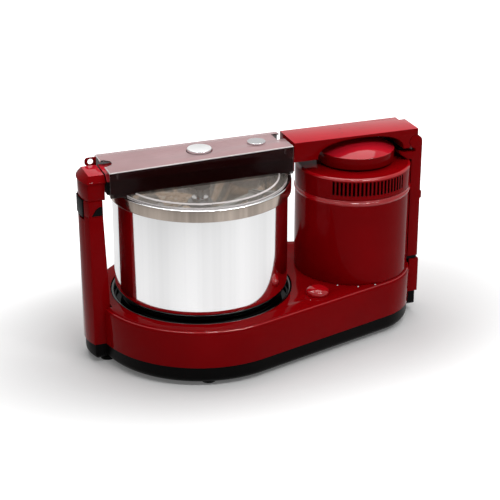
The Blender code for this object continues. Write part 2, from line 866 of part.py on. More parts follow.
# Drum: one turned shell, a rim band, the granite bed and the centre post
corner = drum_corner_radius
inner_corner = corner - drum_wall
drum_in = drum_radius - drum_wall
turned("drum",
       [(0, drum_floor_top)]
       + arc((drum_radius - corner, drum_bottom + corner), inner_corner, -90, 0, corner_steps)
       + [(drum_in, drum_top), (drum_radius, drum_top)]
       + arc((drum_radius - corner, drum_bottom + corner), corner, 0, -90, corner_steps)
       + [(0, drum_bottom)], STEEL, (drum_x, 0, 0), closed=False)
rim_in = drum_radius + fit_gap
turned("drum_rim_band",
       round_edge(rim_radius - rim_edge_radius, rim_top - rim_edge_radius, rim_edge_radius, 90, 0)
       + [(rim_radius, rim_bottom), (rim_in, rim_bottom), (rim_in, rim_top - rim_lip_thickness),
          (rim_mouth_radius, rim_top - rim_lip_thickness), (rim_mouth_radius, rim_top)],
       STEEL, (drum_x, 0, 0))
bed_corner = inner_corner - fit_gap
turned("granite_bed",
       [(post_flange_radius + run_gap, bed_top), (drum_in - run_gap, bed_top)]
       + arc((drum_radius - corner, drum_bottom + corner), bed_corner, 0, -90, corner_steps)
       + [(post_flange_radius + run_gap, bed_bottom)], GRANITE, (drum_x, 0, 0))
turned("drum_centre_post",
       [(0, post_top), (post_radius, post_top), (post_radius, bed_top + post_flange_height / 2),
        (post_flange_radius, bed_top + post_flange_height / 2 - run_gap), (post_flange_radius, bed_bottom),
        (0, bed_bottom)], STEEL, (drum_x, 0, 0), small_steps, closed=False)

# Stone carrier: a hub on the centre post, with a bore for each roller's axle
tilt = radians(roller_tilt)
collar_bottom = bed_top + post_flange_height / 2 + hub_collar_lift
collar_top = collar_bottom + hub_collar_height
carrier = turned("stone_carrier", [
    (0, hub_top), (hub_cap_radius, hub_top), (hub_cap_radius, hub_top - hub_cap_height),
    (hub_radius, hub_top - hub_cap_height),
    (hub_radius, collar_top), (hub_collar_radius, collar_top), (hub_collar_radius, collar_bottom),
    (post_radius + run_gap, collar_bottom), (post_radius + run_gap, post_top + fit_gap),
    (0, post_top + fit_gap)], STEEL, (drum_x, 0, 0), small_steps, closed=False)

# Each roller's cone has its point on the drum's axis, at the height of the bed
cone_base = Vector((drum_x, 0, bed_top + roller_lift))
for number, angle in enumerate(roller_angles, 1):
    flat = Vector((cos(radians(angle)), sin(radians(angle)), 0))
    way = flat * cos(tilt) + Vector((0, 0, sin(tilt)))
    near, far = roller_inner_slant * cos(tilt), roller_outer_slant * cos(tilt)
    near_radius, far_radius = roller_inner_slant * sin(tilt), roller_outer_slant * sin(tilt)
    edge = roller_edge_radius
    bore = axle_radius + axle_clearance
    roller = turned("roller_stone_%d" % number, [
        (far_radius - edge, far), (far_radius - edge * (1 - cos(tilt) / 2), far - edge * 0.3),
        (far_radius - edge * sin(tilt), far - edge), (near_radius, near), (bore, near), (bore, far)],
        STONE, cone_base, roller_steps)
    roller.rotation_euler = way.to_track_quat("Z", "Y").to_euler()
    axle = rod("roller_axle_%d" % number, axle_radius, cone_base + way * axle_inner_reach,
               cone_base + way * (far + axle_overhang), DULL_STEEL, steps=tiny_steps)
    join(axle, rod("axle_head_%d" % number, nut_radius, cone_base + way * (far + run_gap),
                   cone_base + way * (far + run_gap + nut_length), None, steps=tiny_steps))
    cut(carrier, rod("axle_bore_%d" % number, axle_radius + fit_gap,
                     cone_base + way * (axle_inner_reach - fit_gap),
                     cone_base + way * near, None, steps=tiny_steps))

# Scraper clamped to the hub, with its blade close to the drum's wall
blade_out = drum_in - scraper_wall_gap
clamp = turned("drum_scraper", ring(scraper_clamp_radius, hub_radius + fit_gap,
                                    scraper_arm_top - scraper_arm_height, scraper_arm_top),
               WHITE, (drum_x, 0, 0), small_steps)
scraper_turn = Matrix.Translation((drum_x, 0, 0)) @ Matrix.Rotation(radians(scraper_angle), 4, "Z")
blade_in = blade_out - scraper_blade_thickness
scraper_arm = block("scraper_arm", (hub_radius + axle_radius, -scraper_arm_width / 2,
                                    scraper_arm_top - scraper_arm_height + scraper_arm_inset),
                    (blade_in + scraper_blade_thickness / 2, scraper_arm_width / 2,
                     scraper_arm_top - scraper_arm_inset), None)
scraper_blade = block("scraper_blade", (blade_in, -scraper_blade_width / 2, bed_top + scraper_bed_gap),
                      (blade_out, scraper_blade_width / 2, scraper_arm_top + scraper_blade_rise), None)
scraper_arm.matrix_world = scraper_turn
scraper_blade.matrix_world = scraper_turn
join(clamp, scraper_arm, scraper_blade)

# Motor tower: housing, vent ring, collar and cap
bead_high = tower_seam - bead_drop
tower_in = tower_radius - tower_wall
turned("tower_housing", [
    (tower_radius, tower_seam), (tower_radius, bead_high),
    (tower_radius + bead_depth, bead_high - bead_depth),
    (tower_radius + bead_depth, bead_high - bead_width + bead_depth), (tower_radius, bead_high - bead_width),
    (tower_radius, tower_bottom), (tower_in, tower_bottom), (tower_in, tower_seam)], RED, (tower_x, 0, 0))
ring_plate_bottom = ring_top - tower_wall
vent_ring = turned("vent_ring",
                   [(ring_plate_hole_radius, ring_top)]
                   + round_edge(tower_radius - ring_edge_radius, ring_top - ring_edge_radius,
                                ring_edge_radius, 90, 0)
                   + [(tower_radius, ring_bottom), (tower_in, ring_bottom), (tower_in, ring_plate_bottom),
                      (ring_plate_hole_radius, ring_plate_bottom)], RED, (tower_x, 0, 0))
slot_cutters = []
for facing in (-90 - slot_turn, 90 - slot_turn):
    for number in range(slot_count):
        angle = facing + (number - (slot_count - 1) / 2) * slot_pitch
        tool = block("slot", (tower_in - overrun, -slot_width / 2, slot_bottom),
                     (tower_radius + overrun, slot_width / 2, slot_top), WHITE)
        tool.matrix_world = Matrix.Translation((tower_x, 0, 0)) @ Matrix.Rotation(radians(angle), 4, "Z")
        slot_cutters.append(tool)
bpy.context.view_layer.update()
slots = group("vent_slots", slot_cutters, None)
cut(vent_ring, slots)


def dome(reach, low, rise, steps):
    """Points from the crown outwards, flat in the middle and steeper towards the rim."""
    return [(reach * i / steps, low + rise * sqrt(1 - dome_rim_share * (i / steps) ** 2))
            for i in range(steps + 1)]


cap_in = cap_radius - cap_wall
cap_rise = cap_top - cap_side_top
cap_ceiling = dome(cap_in - cap_edge_radius, cap_side_top - cap_wall, cap_rise, cap_inner_steps)
turned("tower_cap",
       dome(cap_radius - cap_edge_radius, cap_side_top, cap_rise, cap_steps)
       + [(cap_radius, cap_side_top), (cap_radius, cap_bottom), (cap_in, cap_bottom), (cap_in, cap_side_top)]
       + cap_ceiling[::-1], RED, (cap_x, 0, 0), closed=False)

# The collar carries the cap: its top meets the slope of the cap's ceiling
(ceiling_r, ceiling_z), (ceiling_end_r, ceiling_end_z) = cap_ceiling[-2:]
collar_top = (ceiling_z - fit_gap + (ceiling_end_z - ceiling_z) * (collar_radius - ceiling_r)
              / (ceiling_end_r - ceiling_r))
turned("cap_collar", ring(collar_radius, collar_radius - collar_wall, ring_top + fit_gap, collar_top),
       BLACK, (cap_x, 0, 0), small_steps * 2)

# Motor
stator = turned("motor_stator", ring(stator_radius, rotor_radius + stator_gap, stator_bottom, stator_top),
                CAST, (tower_x, 0, 0), hidden_steps)
winding_low, winding_high = stator_bottom - fit_gap - winding_height, stator_top + fit_gap
windings = turned("motor_windings", ring(winding_outer_radius, winding_inner_radius, winding_low,
                                         winding_low + winding_height), COPPER, (tower_x, 0, 0), hidden_steps)
winding_top = ring(winding_outer_radius, winding_inner_radius, winding_high, winding_high + winding_height)
join(windings, turned("winding_top", winding_top, None, (tower_x, 0, 0), hidden_steps))
for number in range(winding_bundles):
    turn = 2 * pi * (number + bundle_turn_share) / winding_bundles
    middle_radius = (winding_outer_radius + winding_inner_radius) / 2
    x, y = tower_x + middle_radius * cos(turn), middle_radius * sin(turn)
    join(windings, rod("bundle_%d" % number, bundle_radius, (x, y, winding_low + winding_height / 2),
                       (x, y, winding_high + winding_height / 2), None, steps=tiny_steps))
    cut(stator, rod("bundle_hole_%d" % number, bundle_radius + fit_gap, (x, y, stator_bottom - overrun),
                    (x, y, stator_top + overrun), None, steps=tiny_steps))
turned("motor_rotor", [
    (0, shaft_top), (shaft_radius, shaft_top), (shaft_radius, rotor_top), (rotor_radius, rotor_top),
    (rotor_radius, rotor_bottom), (shaft_radius, rotor_bottom), (shaft_radius, shaft_bottom),
    (0, shaft_bottom)], STEEL, (tower_x, 0, 0), hidden_steps, closed=False)
seat_out = bearing_radius + fit_gap + bearing_seat_wall
seat_in = bearing_radius + fit_gap
shaft_hole = shaft_radius + 2 * run_gap
low_plate = chassis_top + fit_gap
shield_in = stator_radius - shield_wall
turned("motor_lower_shield", [
    (stator_radius, stator_bottom - fit_gap), (stator_radius, low_plate + shield_plate_thickness),
    (shield_flange_radius, low_plate + shield_plate_thickness), (shield_flange_radius, low_plate),
    (shaft_hole, low_plate), (shaft_hole, low_plate + shield_plate_thickness),
    (seat_in, low_plate + shield_plate_thickness),
    (seat_in, low_plate + shield_plate_thickness + bearing_height),
    (seat_out, low_plate + shield_plate_thickness + bearing_height),
    (seat_out, low_plate + shield_plate_thickness), (shield_in, low_plate + shield_plate_thickness),
    (shield_in, stator_bottom - fit_gap)], CAST, (tower_x, 0, 0), hidden_steps)
high_plate = upper_shield_top - shield_plate_thickness
turned("motor_upper_shield", [
    (stator_radius, upper_shield_top), (stator_radius, stator_top + fit_gap),
    (shield_in, stator_top + fit_gap), (shield_in, high_plate), (seat_out, high_plate),
    (seat_out, high_plate - bearing_height),
    (seat_in, high_plate - bearing_height), (seat_in, high_plate), (shaft_hole, high_plate),
    (shaft_hole, upper_shield_top)], CAST, (tower_x, 0, 0), hidden_steps)
for level, low in (("lower", low_plate + shield_plate_thickness + fit_gap),
                   ("upper", high_plate - bearing_height)):
    turned(level + "_motor_bearing",
           ring(bearing_radius, shaft_radius + fit_gap, low, low + bearing_height - fit_gap),
           DULL_STEEL, (tower_x, 0, 0), small_steps)
fan_plate_top = fan_bottom + fan_plate
fan_top = fan_plate_top + fan_blade_height
fan = turned("motor_fan", [
    (fan_hub_radius, fan_top), (fan_hub_radius, fan_plate_top), (fan_radius, fan_plate_top),
    (fan_radius, fan_bottom), (shaft_radius + fit_gap, fan_bottom), (shaft_radius + fit_gap, fan_top)],
    BLACK, (tower_x, 0, 0), hidden_steps)
for number in range(fan_blades):
    blade = block("blade_%d" % number, (fan_hub_radius - fan_plate / 2, -fan_blade_thickness / 2,
                                        fan_bottom + fan_plate / 2),
                  (fan_radius - fan_plate, fan_blade_thickness / 2, fan_top), None)
    blade.matrix_world = (Matrix.Translation((tower_x, 0, 0))
                          @ Matrix.Rotation(2 * pi * number / fan_blades, 4, "Z"))
    join(fan, blade)

# Left post, its head and the black insert
left_post = slab("left_post", post_outline(left_post_inner_foot), cover_bottom, left_post_top, RED)
for vertex in left_post.data.vertices:
    if vertex.co.z > left_post_top - fit_gap and vertex.co.x > drum_x - left_post_inner_foot - fit_gap:
        vertex.co.x -= left_post_flat - left_post_inner_foot
smooth(left_post)
latch_pocket = block("latch_pocket", (drum_x - left_reach - overrun, -latch_half_width - latch_pocket_gap,
                                      latch_pocket_bottom),
                     (drum_x - latch_pivot_x + latch_barrel_radius + latch_pocket_gap,
                      latch_half_width + latch_pocket_gap, head_top + overrun), None)
latch_x = drum_x - latch_pivot_x
latch_bore = rod("latch_bore", latch_pin_radius + fit_gap,
                 (latch_x, -latch_pin_half_length - fit_gap, latch_pivot_z),
                 (latch_x, latch_pin_half_length + fit_gap, latch_pivot_z), None, steps=tiny_steps)
head = slab("left_post_head", post_outline(left_post_flat), left_post_top + fit_gap, head_top, RED)
insert_space = block("insert_space", (drum_x - insert_low_x - fit_gap, -post_half_width - overrun,
                                      insert_bottom - fit_gap),
                     (drum_x - insert_high_x + fit_gap, post_half_width + overrun,
                      insert_top + fit_gap), None)
smooth(cut(head, insert_space, latch_pocket, latch_bore))
cut(left_post, latch_pocket)
block("head_insert", (drum_x - insert_low_x, -post_half_width, insert_bottom),
      (drum_x - insert_high_x, post_half_width, insert_top), BLACK)

# Right post with the hinge's two ears, its seal and lower block
right_outline = [(drum_x + right_post_face, right_post_bottom)]
right_outline += arc((pivot_x, pivot_z), ear_radius, 0, 265, 16)
right_outline += [(pivot_x - ear_radius * cos(radians(85)) / 2, right_shoulder),
                  (drum_x + right_head_inner, right_shoulder),
                  (drum_x + right_head_inner, right_shoulder - right_head_drop),
                  (drum_x + right_head_slope_x, right_head_slope_z),
                  (drum_x + right_post_inner, right_head_slope_z - right_head_drop),
                  (drum_x + right_post_inner, right_post_bottom)]
right_post = slab("right_post", right_outline, -post_half_width, post_half_width, RED, along="Y")
join(right_post, block("post_ridge",
                       (drum_x + right_post_face - ridge_depth, -ridge_half_width, ridge_bottom),
                       (drum_x + right_post_face + ridge_depth, ridge_half_width, ridge_top), None))
cut(right_post,
    tower_cutter("tower_space", tower_radius + bead_depth + run_gap, right_post_bottom - overrun,
                 ring_top + run_gap),
    block("ear_slot", (drum_x + right_head_inner - overrun, -ear_inner_y, right_shoulder),
          (drum_x + right_reach + overrun, ear_inner_y, pivot_z + ear_radius + overrun), None),
    rod("ear_bore", hinge_pin_radius + fit_gap, (pivot_x, -hinge_pin_half_length - fit_gap, pivot_z),
        (pivot_x, hinge_pin_half_length + fit_gap, pivot_z), None))
seal = block("right_post_seal", (drum_x + right_post_inner, -post_half_width + seal_inset, seal_bottom),
             (drum_x + right_post_face - seal_inset / 2, post_half_width - seal_inset,
              right_post_bottom - fit_gap), BLACK)
cut(seal, tower_cutter("seal_space", tower_radius + run_gap, seal_bottom - overrun,
                       right_post_bottom + overrun))
lower_block = block("right_post_block", (drum_x + block_inner, -post_half_width, block_bottom),
                    (drum_x + right_reach, post_half_width, seal_bottom - fit_gap), RED)
cut(lower_block, tower_cutter("block_space", base_end_radius + run_gap, block_bottom - overrun,
                              seal_bottom + overrun))

# Arm: one channel, low over the drum and high over the tower, arched round the tower's cap
beam_cut = ear_radius + ear_clearance
low_corner = asin((pivot_z - beam_bottom) / beam_cut) * 180 / pi
end_corner = acos((beam_end - pivot_offset) / beam_cut) * 180 / pi
beam_outline = [(drum_x - arm_left, arm_bottom), (drum_x + beam_step, arm_bottom),
                (drum_x + beam_step, beam_bottom)]
beam_outline += arc((pivot_x, pivot_z), beam_cut, 180 + low_corner, end_corner, 12)
beam_outline += [(drum_x + beam_end, beam_top), (drum_x + beam_step, beam_top),
                 (drum_x + beam_step, arm_top), (drum_x - arm_left, arm_top)]
arm = slab("arm_beam", beam_outline, -beam_half_width, beam_half_width, RED, along="Y")
arch = [(tower_x + arch_half_length * (abs(cos(t)) ** (2 / arch_power)) * (1 if cos(t) > 0 else -1),
         beam_bottom + arch_height * (sin(t) ** (2 / arch_power)))
        for t in [pi * i / arch_steps for i in range(arch_steps + 1)]]
arch = [(x, max(z, beam_bottom)) for x, z in arch]
arch = [(arch[0][0], beam_bottom - overrun)] + arch[1:-1] + [(arch[-1][0], beam_bottom - overrun)]
hip_tools = []
for side in (-1, 1):
    y_out, y_in = side * (beam_half_width + overrun), side * (beam_half_width - arm_hip_inset)
    slope = arm_hip_drop / arm_hip_inset
    form = bmesh.new()
    bmesh.ops.create_cube(form, size=1)
    for vertex in form.verts:
        x = drum_x - arm_left - overrun if vertex.co.x < 0 else drum_x + beam_step - fit_gap
        upper = vertex.co.z > 0
        outer = vertex.co.y > 0
        if outer:
            spot = (x, y_out, arm_top + overrun if upper else arm_top - arm_hip_drop - overrun * slope)
        else:
            spot = (x, y_in, arm_top + overrun if upper else arm_top)
        vertex.co = spot
    outward(form)
    hip_tools.append(from_bmesh("arm_hip_%d" % (side + 2), form, None))
cut(arm,
    block("arm_channel", (drum_x - arm_left + beam_wall, -beam_half_width + beam_wall, arm_bottom - overrun),
          (drum_x + beam_step - beam_wall, beam_half_width - beam_wall, channel_top), None),
    block("beam_channel",
          (drum_x + beam_step + beam_wall, -beam_half_width + beam_wall, beam_bottom - overrun),
          (drum_x + beam_solid_from, beam_half_width - beam_wall, beam_top - beam_wall), None),
    slab("arch_space", arch, -beam_half_width - overrun, beam_half_width + overrun, None, along="Y"),
    block("beam_notch", (drum_x + beam_notch_x, beam_notch_y, beam_bottom),
          (drum_x + beam_end + overrun, beam_half_width + overrun, beam_top + overrun), None),
    *hip_tools)
join(arm,
     block("knuckle_web", (drum_x + web_start, -knuckle_half_width, web_bottom),
           (pivot_x, knuckle_half_width, web_top), None),
     rod("knuckle", ear_radius, (pivot_x, -knuckle_half_width, pivot_z),
         (pivot_x, knuckle_half_width, pivot_z), None))
cut(arm,
    rod("knuckle_bore", hinge_pin_radius + fit_gap, (pivot_x, -beam_half_width, pivot_z),
        (pivot_x, beam_half_width, pivot_z), None),
    rod("plunger_hole", plunger_radius + run_gap, (drum_x, 0, arm_bottom - overrun),
        (drum_x, 0, arm_top + overrun), None, steps=small_steps))
rod("hinge_pin", hinge_pin_radius, (pivot_x, -hinge_pin_half_length, pivot_z),
    (pivot_x, hinge_pin_half_length, pivot_z), STEEL)

# Arm's end block over the left post: a body, and a hipped top that overhangs it
lip_top = arm_top - arm_hip_drop
lip_bottom = lip_top - end_block_lip
end_block = slab("arm_end_block", post_outline(end_block_right, end_block_body_inset, end_block_reach),
                 end_block_bottom, lip_bottom + fit_gap, RED)
form = bmesh.new()
for x, y in post_outline(end_block_right, 0, end_block_reach):
    form.verts.new((x, y, lip_bottom))
    form.verts.new((x, y, lip_top))
for x in (drum_x - end_block_right, drum_x - end_block_top_reach):
    for side in (-1, 1):
        form.verts.new((x, side * (beam_half_width - arm_hip_inset), arm_top))
bmesh.ops.convex_hull(form, input=form.verts)
bmesh.ops.dissolve_limit(form, angle_limit=flat_angle, verts=form.verts, edges=form.edges)
outward(form)
join(end_block, from_bmesh("end_hips", form, None))

# Latch plate, its barrel and the two stub pins
lever = slab("latch_lever", bow(left_reach, latch_half_width)
             + bow(left_reach, latch_half_width, latch_thickness)[::-1], latch_bottom, latch_top, BLACK)
join(lever,
     block("latch_web", (drum_x - left_reach + latch_thickness / 2, -latch_half_width / 3,
                         latch_pivot_z - latch_barrel_radius / 2),
           (latch_x, latch_half_width / 3, latch_pivot_z + latch_barrel_radius / 2), None),
     rod("latch_barrel", latch_barrel_radius, (latch_x, -latch_half_width, latch_pivot_z),
         (latch_x, latch_half_width, latch_pivot_z), None),
     rod("latch_stubs", latch_pin_radius, (latch_x, -latch_pin_half_length, latch_pivot_z),
         (latch_x, latch_pin_half_length, latch_pivot_z), None, steps=tiny_steps))

# Pressure plunger: barrel, rod with foot, spring sleeve and the round cap above the lid
barrel_top = channel_top - fit_gap
barrel_in = barrel_radius - barrel_wall
turned("plunger_barrel", [
    (barrel_radius, barrel_top), (barrel_radius, barrel_bottom), (plunger_radius + run_gap, barrel_bottom),
    (plunger_radius + run_gap, barrel_bottom + barrel_floor), (barrel_in, barrel_bottom + barrel_floor),
    (barrel_in, barrel_top)], CAST, (drum_x, 0, 0), small_steps)
cap_low = beam_top - plunger_cap_height
cap_edge = plunger_cap_edge
turned("pressure_plunger",
       [(0, beam_top)] + round_edge(plunger_cap_radius - cap_edge, beam_top - cap_edge, cap_edge, 90, 0)
       + [(plunger_cap_radius, cap_low), (plunger_radius, cap_low),
          (plunger_radius, plunger_collar_bottom + plunger_collar_height),
          (plunger_collar_radius, plunger_collar_bottom + plunger_collar_height),
          (plunger_collar_radius, plunger_collar_bottom), (plunger_radius, plunger_collar_bottom),
          (plunger_radius, plunger_foot_bottom + plunger_foot_height),
          (plunger_foot_radius, plunger_foot_bottom + plunger_foot_height),
          (plunger_foot_radius, plunger_foot_bottom), (0, plunger_foot_bottom)],
       STEEL, (drum_x, 0, 0), hidden_steps, closed=False)
turned("plunger_spring", ring(spring_radius, spring_radius - spring_wall,
                              plunger_collar_bottom + plunger_collar_height + fit_gap, barrel_top - fit_gap),
       DULL_STEEL, (drum_x, 0, 0), small_steps)

# Lid: a stepped disc cut by the arm's slot, with a tapered tunnel over it
def tunnel_form(name, inset, top_drop, low, extra, look):
    form = bmesh.new()
    bmesh.ops.create_cube(form, size=1)
    length = tunnel_left + tunnel_right
    half_slope = (tunnel_right_half - tunnel_left_half) / length
    top_slope = (tunnel_right_top - tunnel_left_top) / length
    for vertex in form.verts:
        left = vertex.co.x < 0
        reach = -extra if left else length + extra
        half = tunnel_left_half + half_slope * reach - inset
        top = tunnel_left_top + top_slope * reach - top_drop
        vertex.co = (drum_x - tunnel_left + reach, half if vertex.co.y > 0 else -half,
                     top if vertex.co.z > 0 else low)
    outward(form)
    return from_bmesh(name, form, look)


lid = turned("lid", [
    (0, lid_bottom + lid_thickness + lid_step_height),
    (lid_step_radius, lid_bottom + lid_thickness + lid_step_height),
    (lid_step_radius + lid_step_height, lid_bottom + lid_thickness), (lid_radius, lid_bottom + lid_thickness),
    (lid_radius, lid_bottom), (lid_register_radius, lid_bottom),
    (lid_register_radius, lid_bottom - lid_register_depth),
    (lid_register_radius - lid_register_wall, lid_bottom - lid_register_depth),
    (lid_register_radius - lid_register_wall, lid_bottom), (lid_step_radius, lid_bottom),
    (lid_step_radius - lid_step_height, lid_bottom + lid_step_height), (0, lid_bottom + lid_step_height)],
    SMOKED, (drum_x, 0, 0), closed=False)
join(lid, tunnel_form("tunnel_outer", 0, 0, lid_bottom, 0, None))
for number, (offset, low_side) in enumerate([(-rib_left_offset, -1), (-rib_left_offset, 1),
                                             (rib_right_offset, -1), (rib_right_offset, 1)]):
    share = (offset + tunnel_left) / (tunnel_left + tunnel_right)
    half = tunnel_left_half + (tunnel_right_half - tunnel_left_half) * share
    top = tunnel_left_top + (tunnel_right_top - tunnel_left_top) * share
    y_low, y_high = sorted((low_side * (half - tunnel_wall / 2), low_side * (half + rib_depth)))
    join(lid, block("rib_%d" % number, (drum_x + offset - rib_width / 2, y_low, top - rib_height),
                    (drum_x + offset + rib_width / 2, y_high, top - rib_depth / 2), None))
cut(lid, tunnel_form("tunnel_inner", tunnel_wall, tunnel_wall, lid_bottom - lid_register_depth - overrun,
                     overrun, None),
    rod("finger_notch", notch_radius, (drum_x - tunnel_left, 0, tunnel_left_top - overrun),
        (drum_x - tunnel_left, 0, tunnel_left_top + overrun), None),
    block("corner_notch", (drum_x + tunnel_right - corner_notch_length, 0, tunnel_right_top - overrun),
          (drum_x + tunnel_right + overrun, 2 * corner_notch_half, tunnel_right_top + overrun), None),
    rod("cap_hole", plunger_cap_radius + lid_hole_gap, (drum_x, 0, tunnel_left_top - overrun),
        (drum_x, 0, tunnel_right_top + overrun), None, steps=small_steps * 2))
disc_share = (lid_disc_offset + tunnel_left) / (tunnel_left + tunnel_right)
disc_low = (tunnel_left_top + (tunnel_right_top - tunnel_left_top) * disc_share + fit_gap
            + lid_disc_radius * (tunnel_right_top - tunnel_left_top) / (tunnel_left + tunnel_right))
rod("lid_disc", lid_disc_radius, (drum_x + lid_disc_offset, 0, disc_low),
    (drum_x + lid_disc_offset, 0, disc_low + lid_disc_height), STEEL, steps=small_steps + 12)
loop_right = drum_x - tunnel_left - fit_gap
loop_top = tunnel_left_top - loop_top_drop
loop = block("lid_finger_loop", (loop_right - loop_width, loop_y, loop_top - loop_height),
             (loop_right, loop_y + loop_thickness, loop_top), RED)
hole_x, hole_z = loop_right - loop_width / 2, loop_top - loop_height / 2
cut(loop, rod("loop_hole", loop_hole_radius, (hole_x, loop_y - overrun, hole_z),
              (hole_x, loop_y + loop_thickness + overrun, hole_z), None))

# Knob with its shaft, the switch under it, and the cord's gland
knob_x = drum_x + knob_offset
knob_low = base_top + fit_gap
switch_top = base_top - cover_wall - fit_gap
knob_dome = [(knob_radius * sin(radians(a)),
              knob_low + knob_edge + (knob_height - knob_edge) * cos(radians(a))) for a in (0, 30, 60, 90)]
knob = turned("control_knob", knob_dome + [
    (knob_radius, knob_low), (knob_shaft_radius, knob_low), (knob_shaft_radius, switch_top + fit_gap),
    (0, switch_top + fit_gap)], RED, (knob_x, knob_y, 0), small_steps, closed=False)
join(knob, block("knob_grip",
                 (knob_x - knob_grip_width / 2, knob_y - knob_grip_length / 2, knob_low + knob_edge),
                 (knob_x + knob_grip_width / 2, knob_y + knob_grip_length / 2,
                  knob_low + knob_height + knob_grip_height), None))
block("rotary_switch", (knob_x - switch_size / 2, knob_y - switch_size / 2, switch_top - switch_height),
      (knob_x + switch_size / 2, knob_y + switch_size / 2, switch_top), BLACK)
nut_high = -cover_wall - fit_gap
nut_low = nut_high - gland_nut_height
gland = turned("cord_gland", [
    (gland_flange_radius, gland_flange_height), (gland_flange_radius, fit_gap),
    (gland_neck_radius, fit_gap), (gland_neck_radius, nut_high),
    (gland_flange_radius, nut_high), (gland_flange_radius, nut_low),
    (gland_bore_radius, nut_low), (gland_bore_radius, gland_flange_height)],
    BLACK, gland_wall, small_steps)
gland.rotation_euler = gland_way.to_track_quat("Z", "Y").to_euler()
bpy.context.view_layer.update()
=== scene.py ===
from math import acos, asin, atan2, cos, degrees, pi, radians, sin, sqrt

import bmesh
import bpy
from mathutils import Matrix, Vector


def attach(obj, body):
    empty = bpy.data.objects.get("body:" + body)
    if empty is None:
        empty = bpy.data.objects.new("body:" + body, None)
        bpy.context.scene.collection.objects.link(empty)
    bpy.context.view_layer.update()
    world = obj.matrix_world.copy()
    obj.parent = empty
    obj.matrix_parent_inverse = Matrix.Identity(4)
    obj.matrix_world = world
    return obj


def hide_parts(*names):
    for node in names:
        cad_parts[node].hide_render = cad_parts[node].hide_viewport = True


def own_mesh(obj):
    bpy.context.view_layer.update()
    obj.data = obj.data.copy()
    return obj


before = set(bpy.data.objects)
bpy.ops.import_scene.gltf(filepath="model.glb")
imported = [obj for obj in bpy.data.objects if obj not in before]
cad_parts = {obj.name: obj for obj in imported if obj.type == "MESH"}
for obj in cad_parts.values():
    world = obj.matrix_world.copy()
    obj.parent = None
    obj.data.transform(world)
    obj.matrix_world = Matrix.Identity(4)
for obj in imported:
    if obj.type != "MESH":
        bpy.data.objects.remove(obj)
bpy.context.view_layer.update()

# All sizes are in metres, in the row frame: +X from the drum to the tower, +Z up.
D, T = -0.0715, 0.1415                      # x of the drum's and the tower's axis
AXES = 0.2130                               # distance between the two
BIG_RADIUS, END_RADIUS = 0.1405, 0.0805     # the base's two ends
COVER_LOW, COVER_TOP = 0.0273, 0.0778
CHAMBER_TOP, STAND = 0.0748, 0.0781         # the cover's underside, the foot of what stands on it
TOWER_SPACE, BLOCK_SPACE = 0.0780, 0.0810   # room round the tower and the base's end for the post
POST_HALF, POST_BOW = 0.0264, 0.0066        # half width of posts and arm, rise of the bowed side
POST_REACH, ARM_REACH = 0.1592, 0.1600      # from the drum's axis to their bowed sides
LX, LZ = D - 0.1530, 0.2075                 # latch pivot
PX, PZ = D + 0.2919, 0.2500                 # hinge pin
KX, KY = D + 0.1335, -0.0780                # knob's axis
SHARP, SOFT = 34, 24                        # degrees: crisper edges stay sharp, softer turns are curves
TINY = 1e-7
scene = bpy.context.scene


# ---------------------------------------------------------------- shapes

def arc(centre, radius, start, end, steps):
    """Points along a circle between two angles in degrees."""
    angles = [radians(start + (end - start) * i / steps) for i in range(steps + 1)]
    return [(centre[0] + radius * cos(a), centre[1] + radius * sin(a)) for a in angles]


def eased(points, amount, closed=True, steps=3):
    """Round each sharp corner of an outline; a third value gives a corner its own radius."""
    out, count = [], len(points)
    for i, point in enumerate(points):
        here = Vector(point[:2])
        radius = point[2] if len(point) > 2 else amount
        to_last = Vector(points[i - 1][:2]) - here
        to_next = Vector(points[(i + 1) % count][:2]) - here
        loose_end = not closed and i in (0, count - 1)
        if (loose_end or radius <= 0 or min(to_last.length, to_next.length) < TINY
                or pi - to_last.angle(to_next) < radians(SOFT)):
            out.append(tuple(here))
            continue
        reach = min(radius, to_last.length * 0.45, to_next.length * 0.45)
        a, b = here + to_last.normalized() * reach, here + to_next.normalized() * reach
        for k in range(steps + 1):
            t = k / steps
            spot = a * (1 - t) ** 2 + here * 2 * t * (1 - t) + b * t ** 2
            out.append(tuple(spot))
    return out


def outward(form):
    """Turn every face outward."""
    bmesh.ops.recalc_face_normals(form, faces=form.faces)
    if form.calc_volume(signed=True) < 0:
        bmesh.ops.reverse_faces(form, faces=form.faces)


def smooth(mesh, sharp=SHARP):
    """Shade a mesh smooth but for its sharp edges."""
    mesh.shade_smooth()
    mesh.set_sharp_from_angle(angle=radians(sharp))


def join_flat(form):
    """Make one face of neighbours that lie in one plane."""
    bmesh.ops.dissolve_limit(form, angle_limit=radians(0.1), verts=form.verts, edges=form.edges)


def made(name, form, sharp=SHARP):
    """An object from a bmesh."""
    mesh = bpy.data.meshes.new(name)
    form.to_mesh(mesh)
    form.free()
    smooth(mesh, sharp)
    obj = bpy.data.objects.new(name, mesh)
    scene.collection.objects.link(obj)
    return obj


def turned(name, profile, ease=0.0005, at=(D, 0), steps=144, closed=True):
    """A profile of (radius, height) points turned about an upright axis."""
    form = bmesh.new()
    rings = []
    angles = [2 * pi * i / steps for i in range(steps)]
    for r, z in eased(profile, ease, closed):
        if r < TINY:
            rings.append([form.verts.new((at[0], at[1], z))])
        else:
            rings.append([form.verts.new((at[0] + r * cos(a), at[1] + r * sin(a), z)) for a in angles])
    pairs = list(zip(rings, rings[1:]))
    if closed:
        pairs.append((rings[-1], rings[0]))
    for a, b in pairs:
        for i in range(steps):
            quad = []
            for vert in (a[i % len(a)], a[(i + 1) % len(a)], b[(i + 1) % len(b)], b[i % len(b)]):
                if vert not in quad:
                    quad.append(vert)
            if len(quad) > 2:
                form.faces.new(quad)
    outward(form)
    return made(name, form)


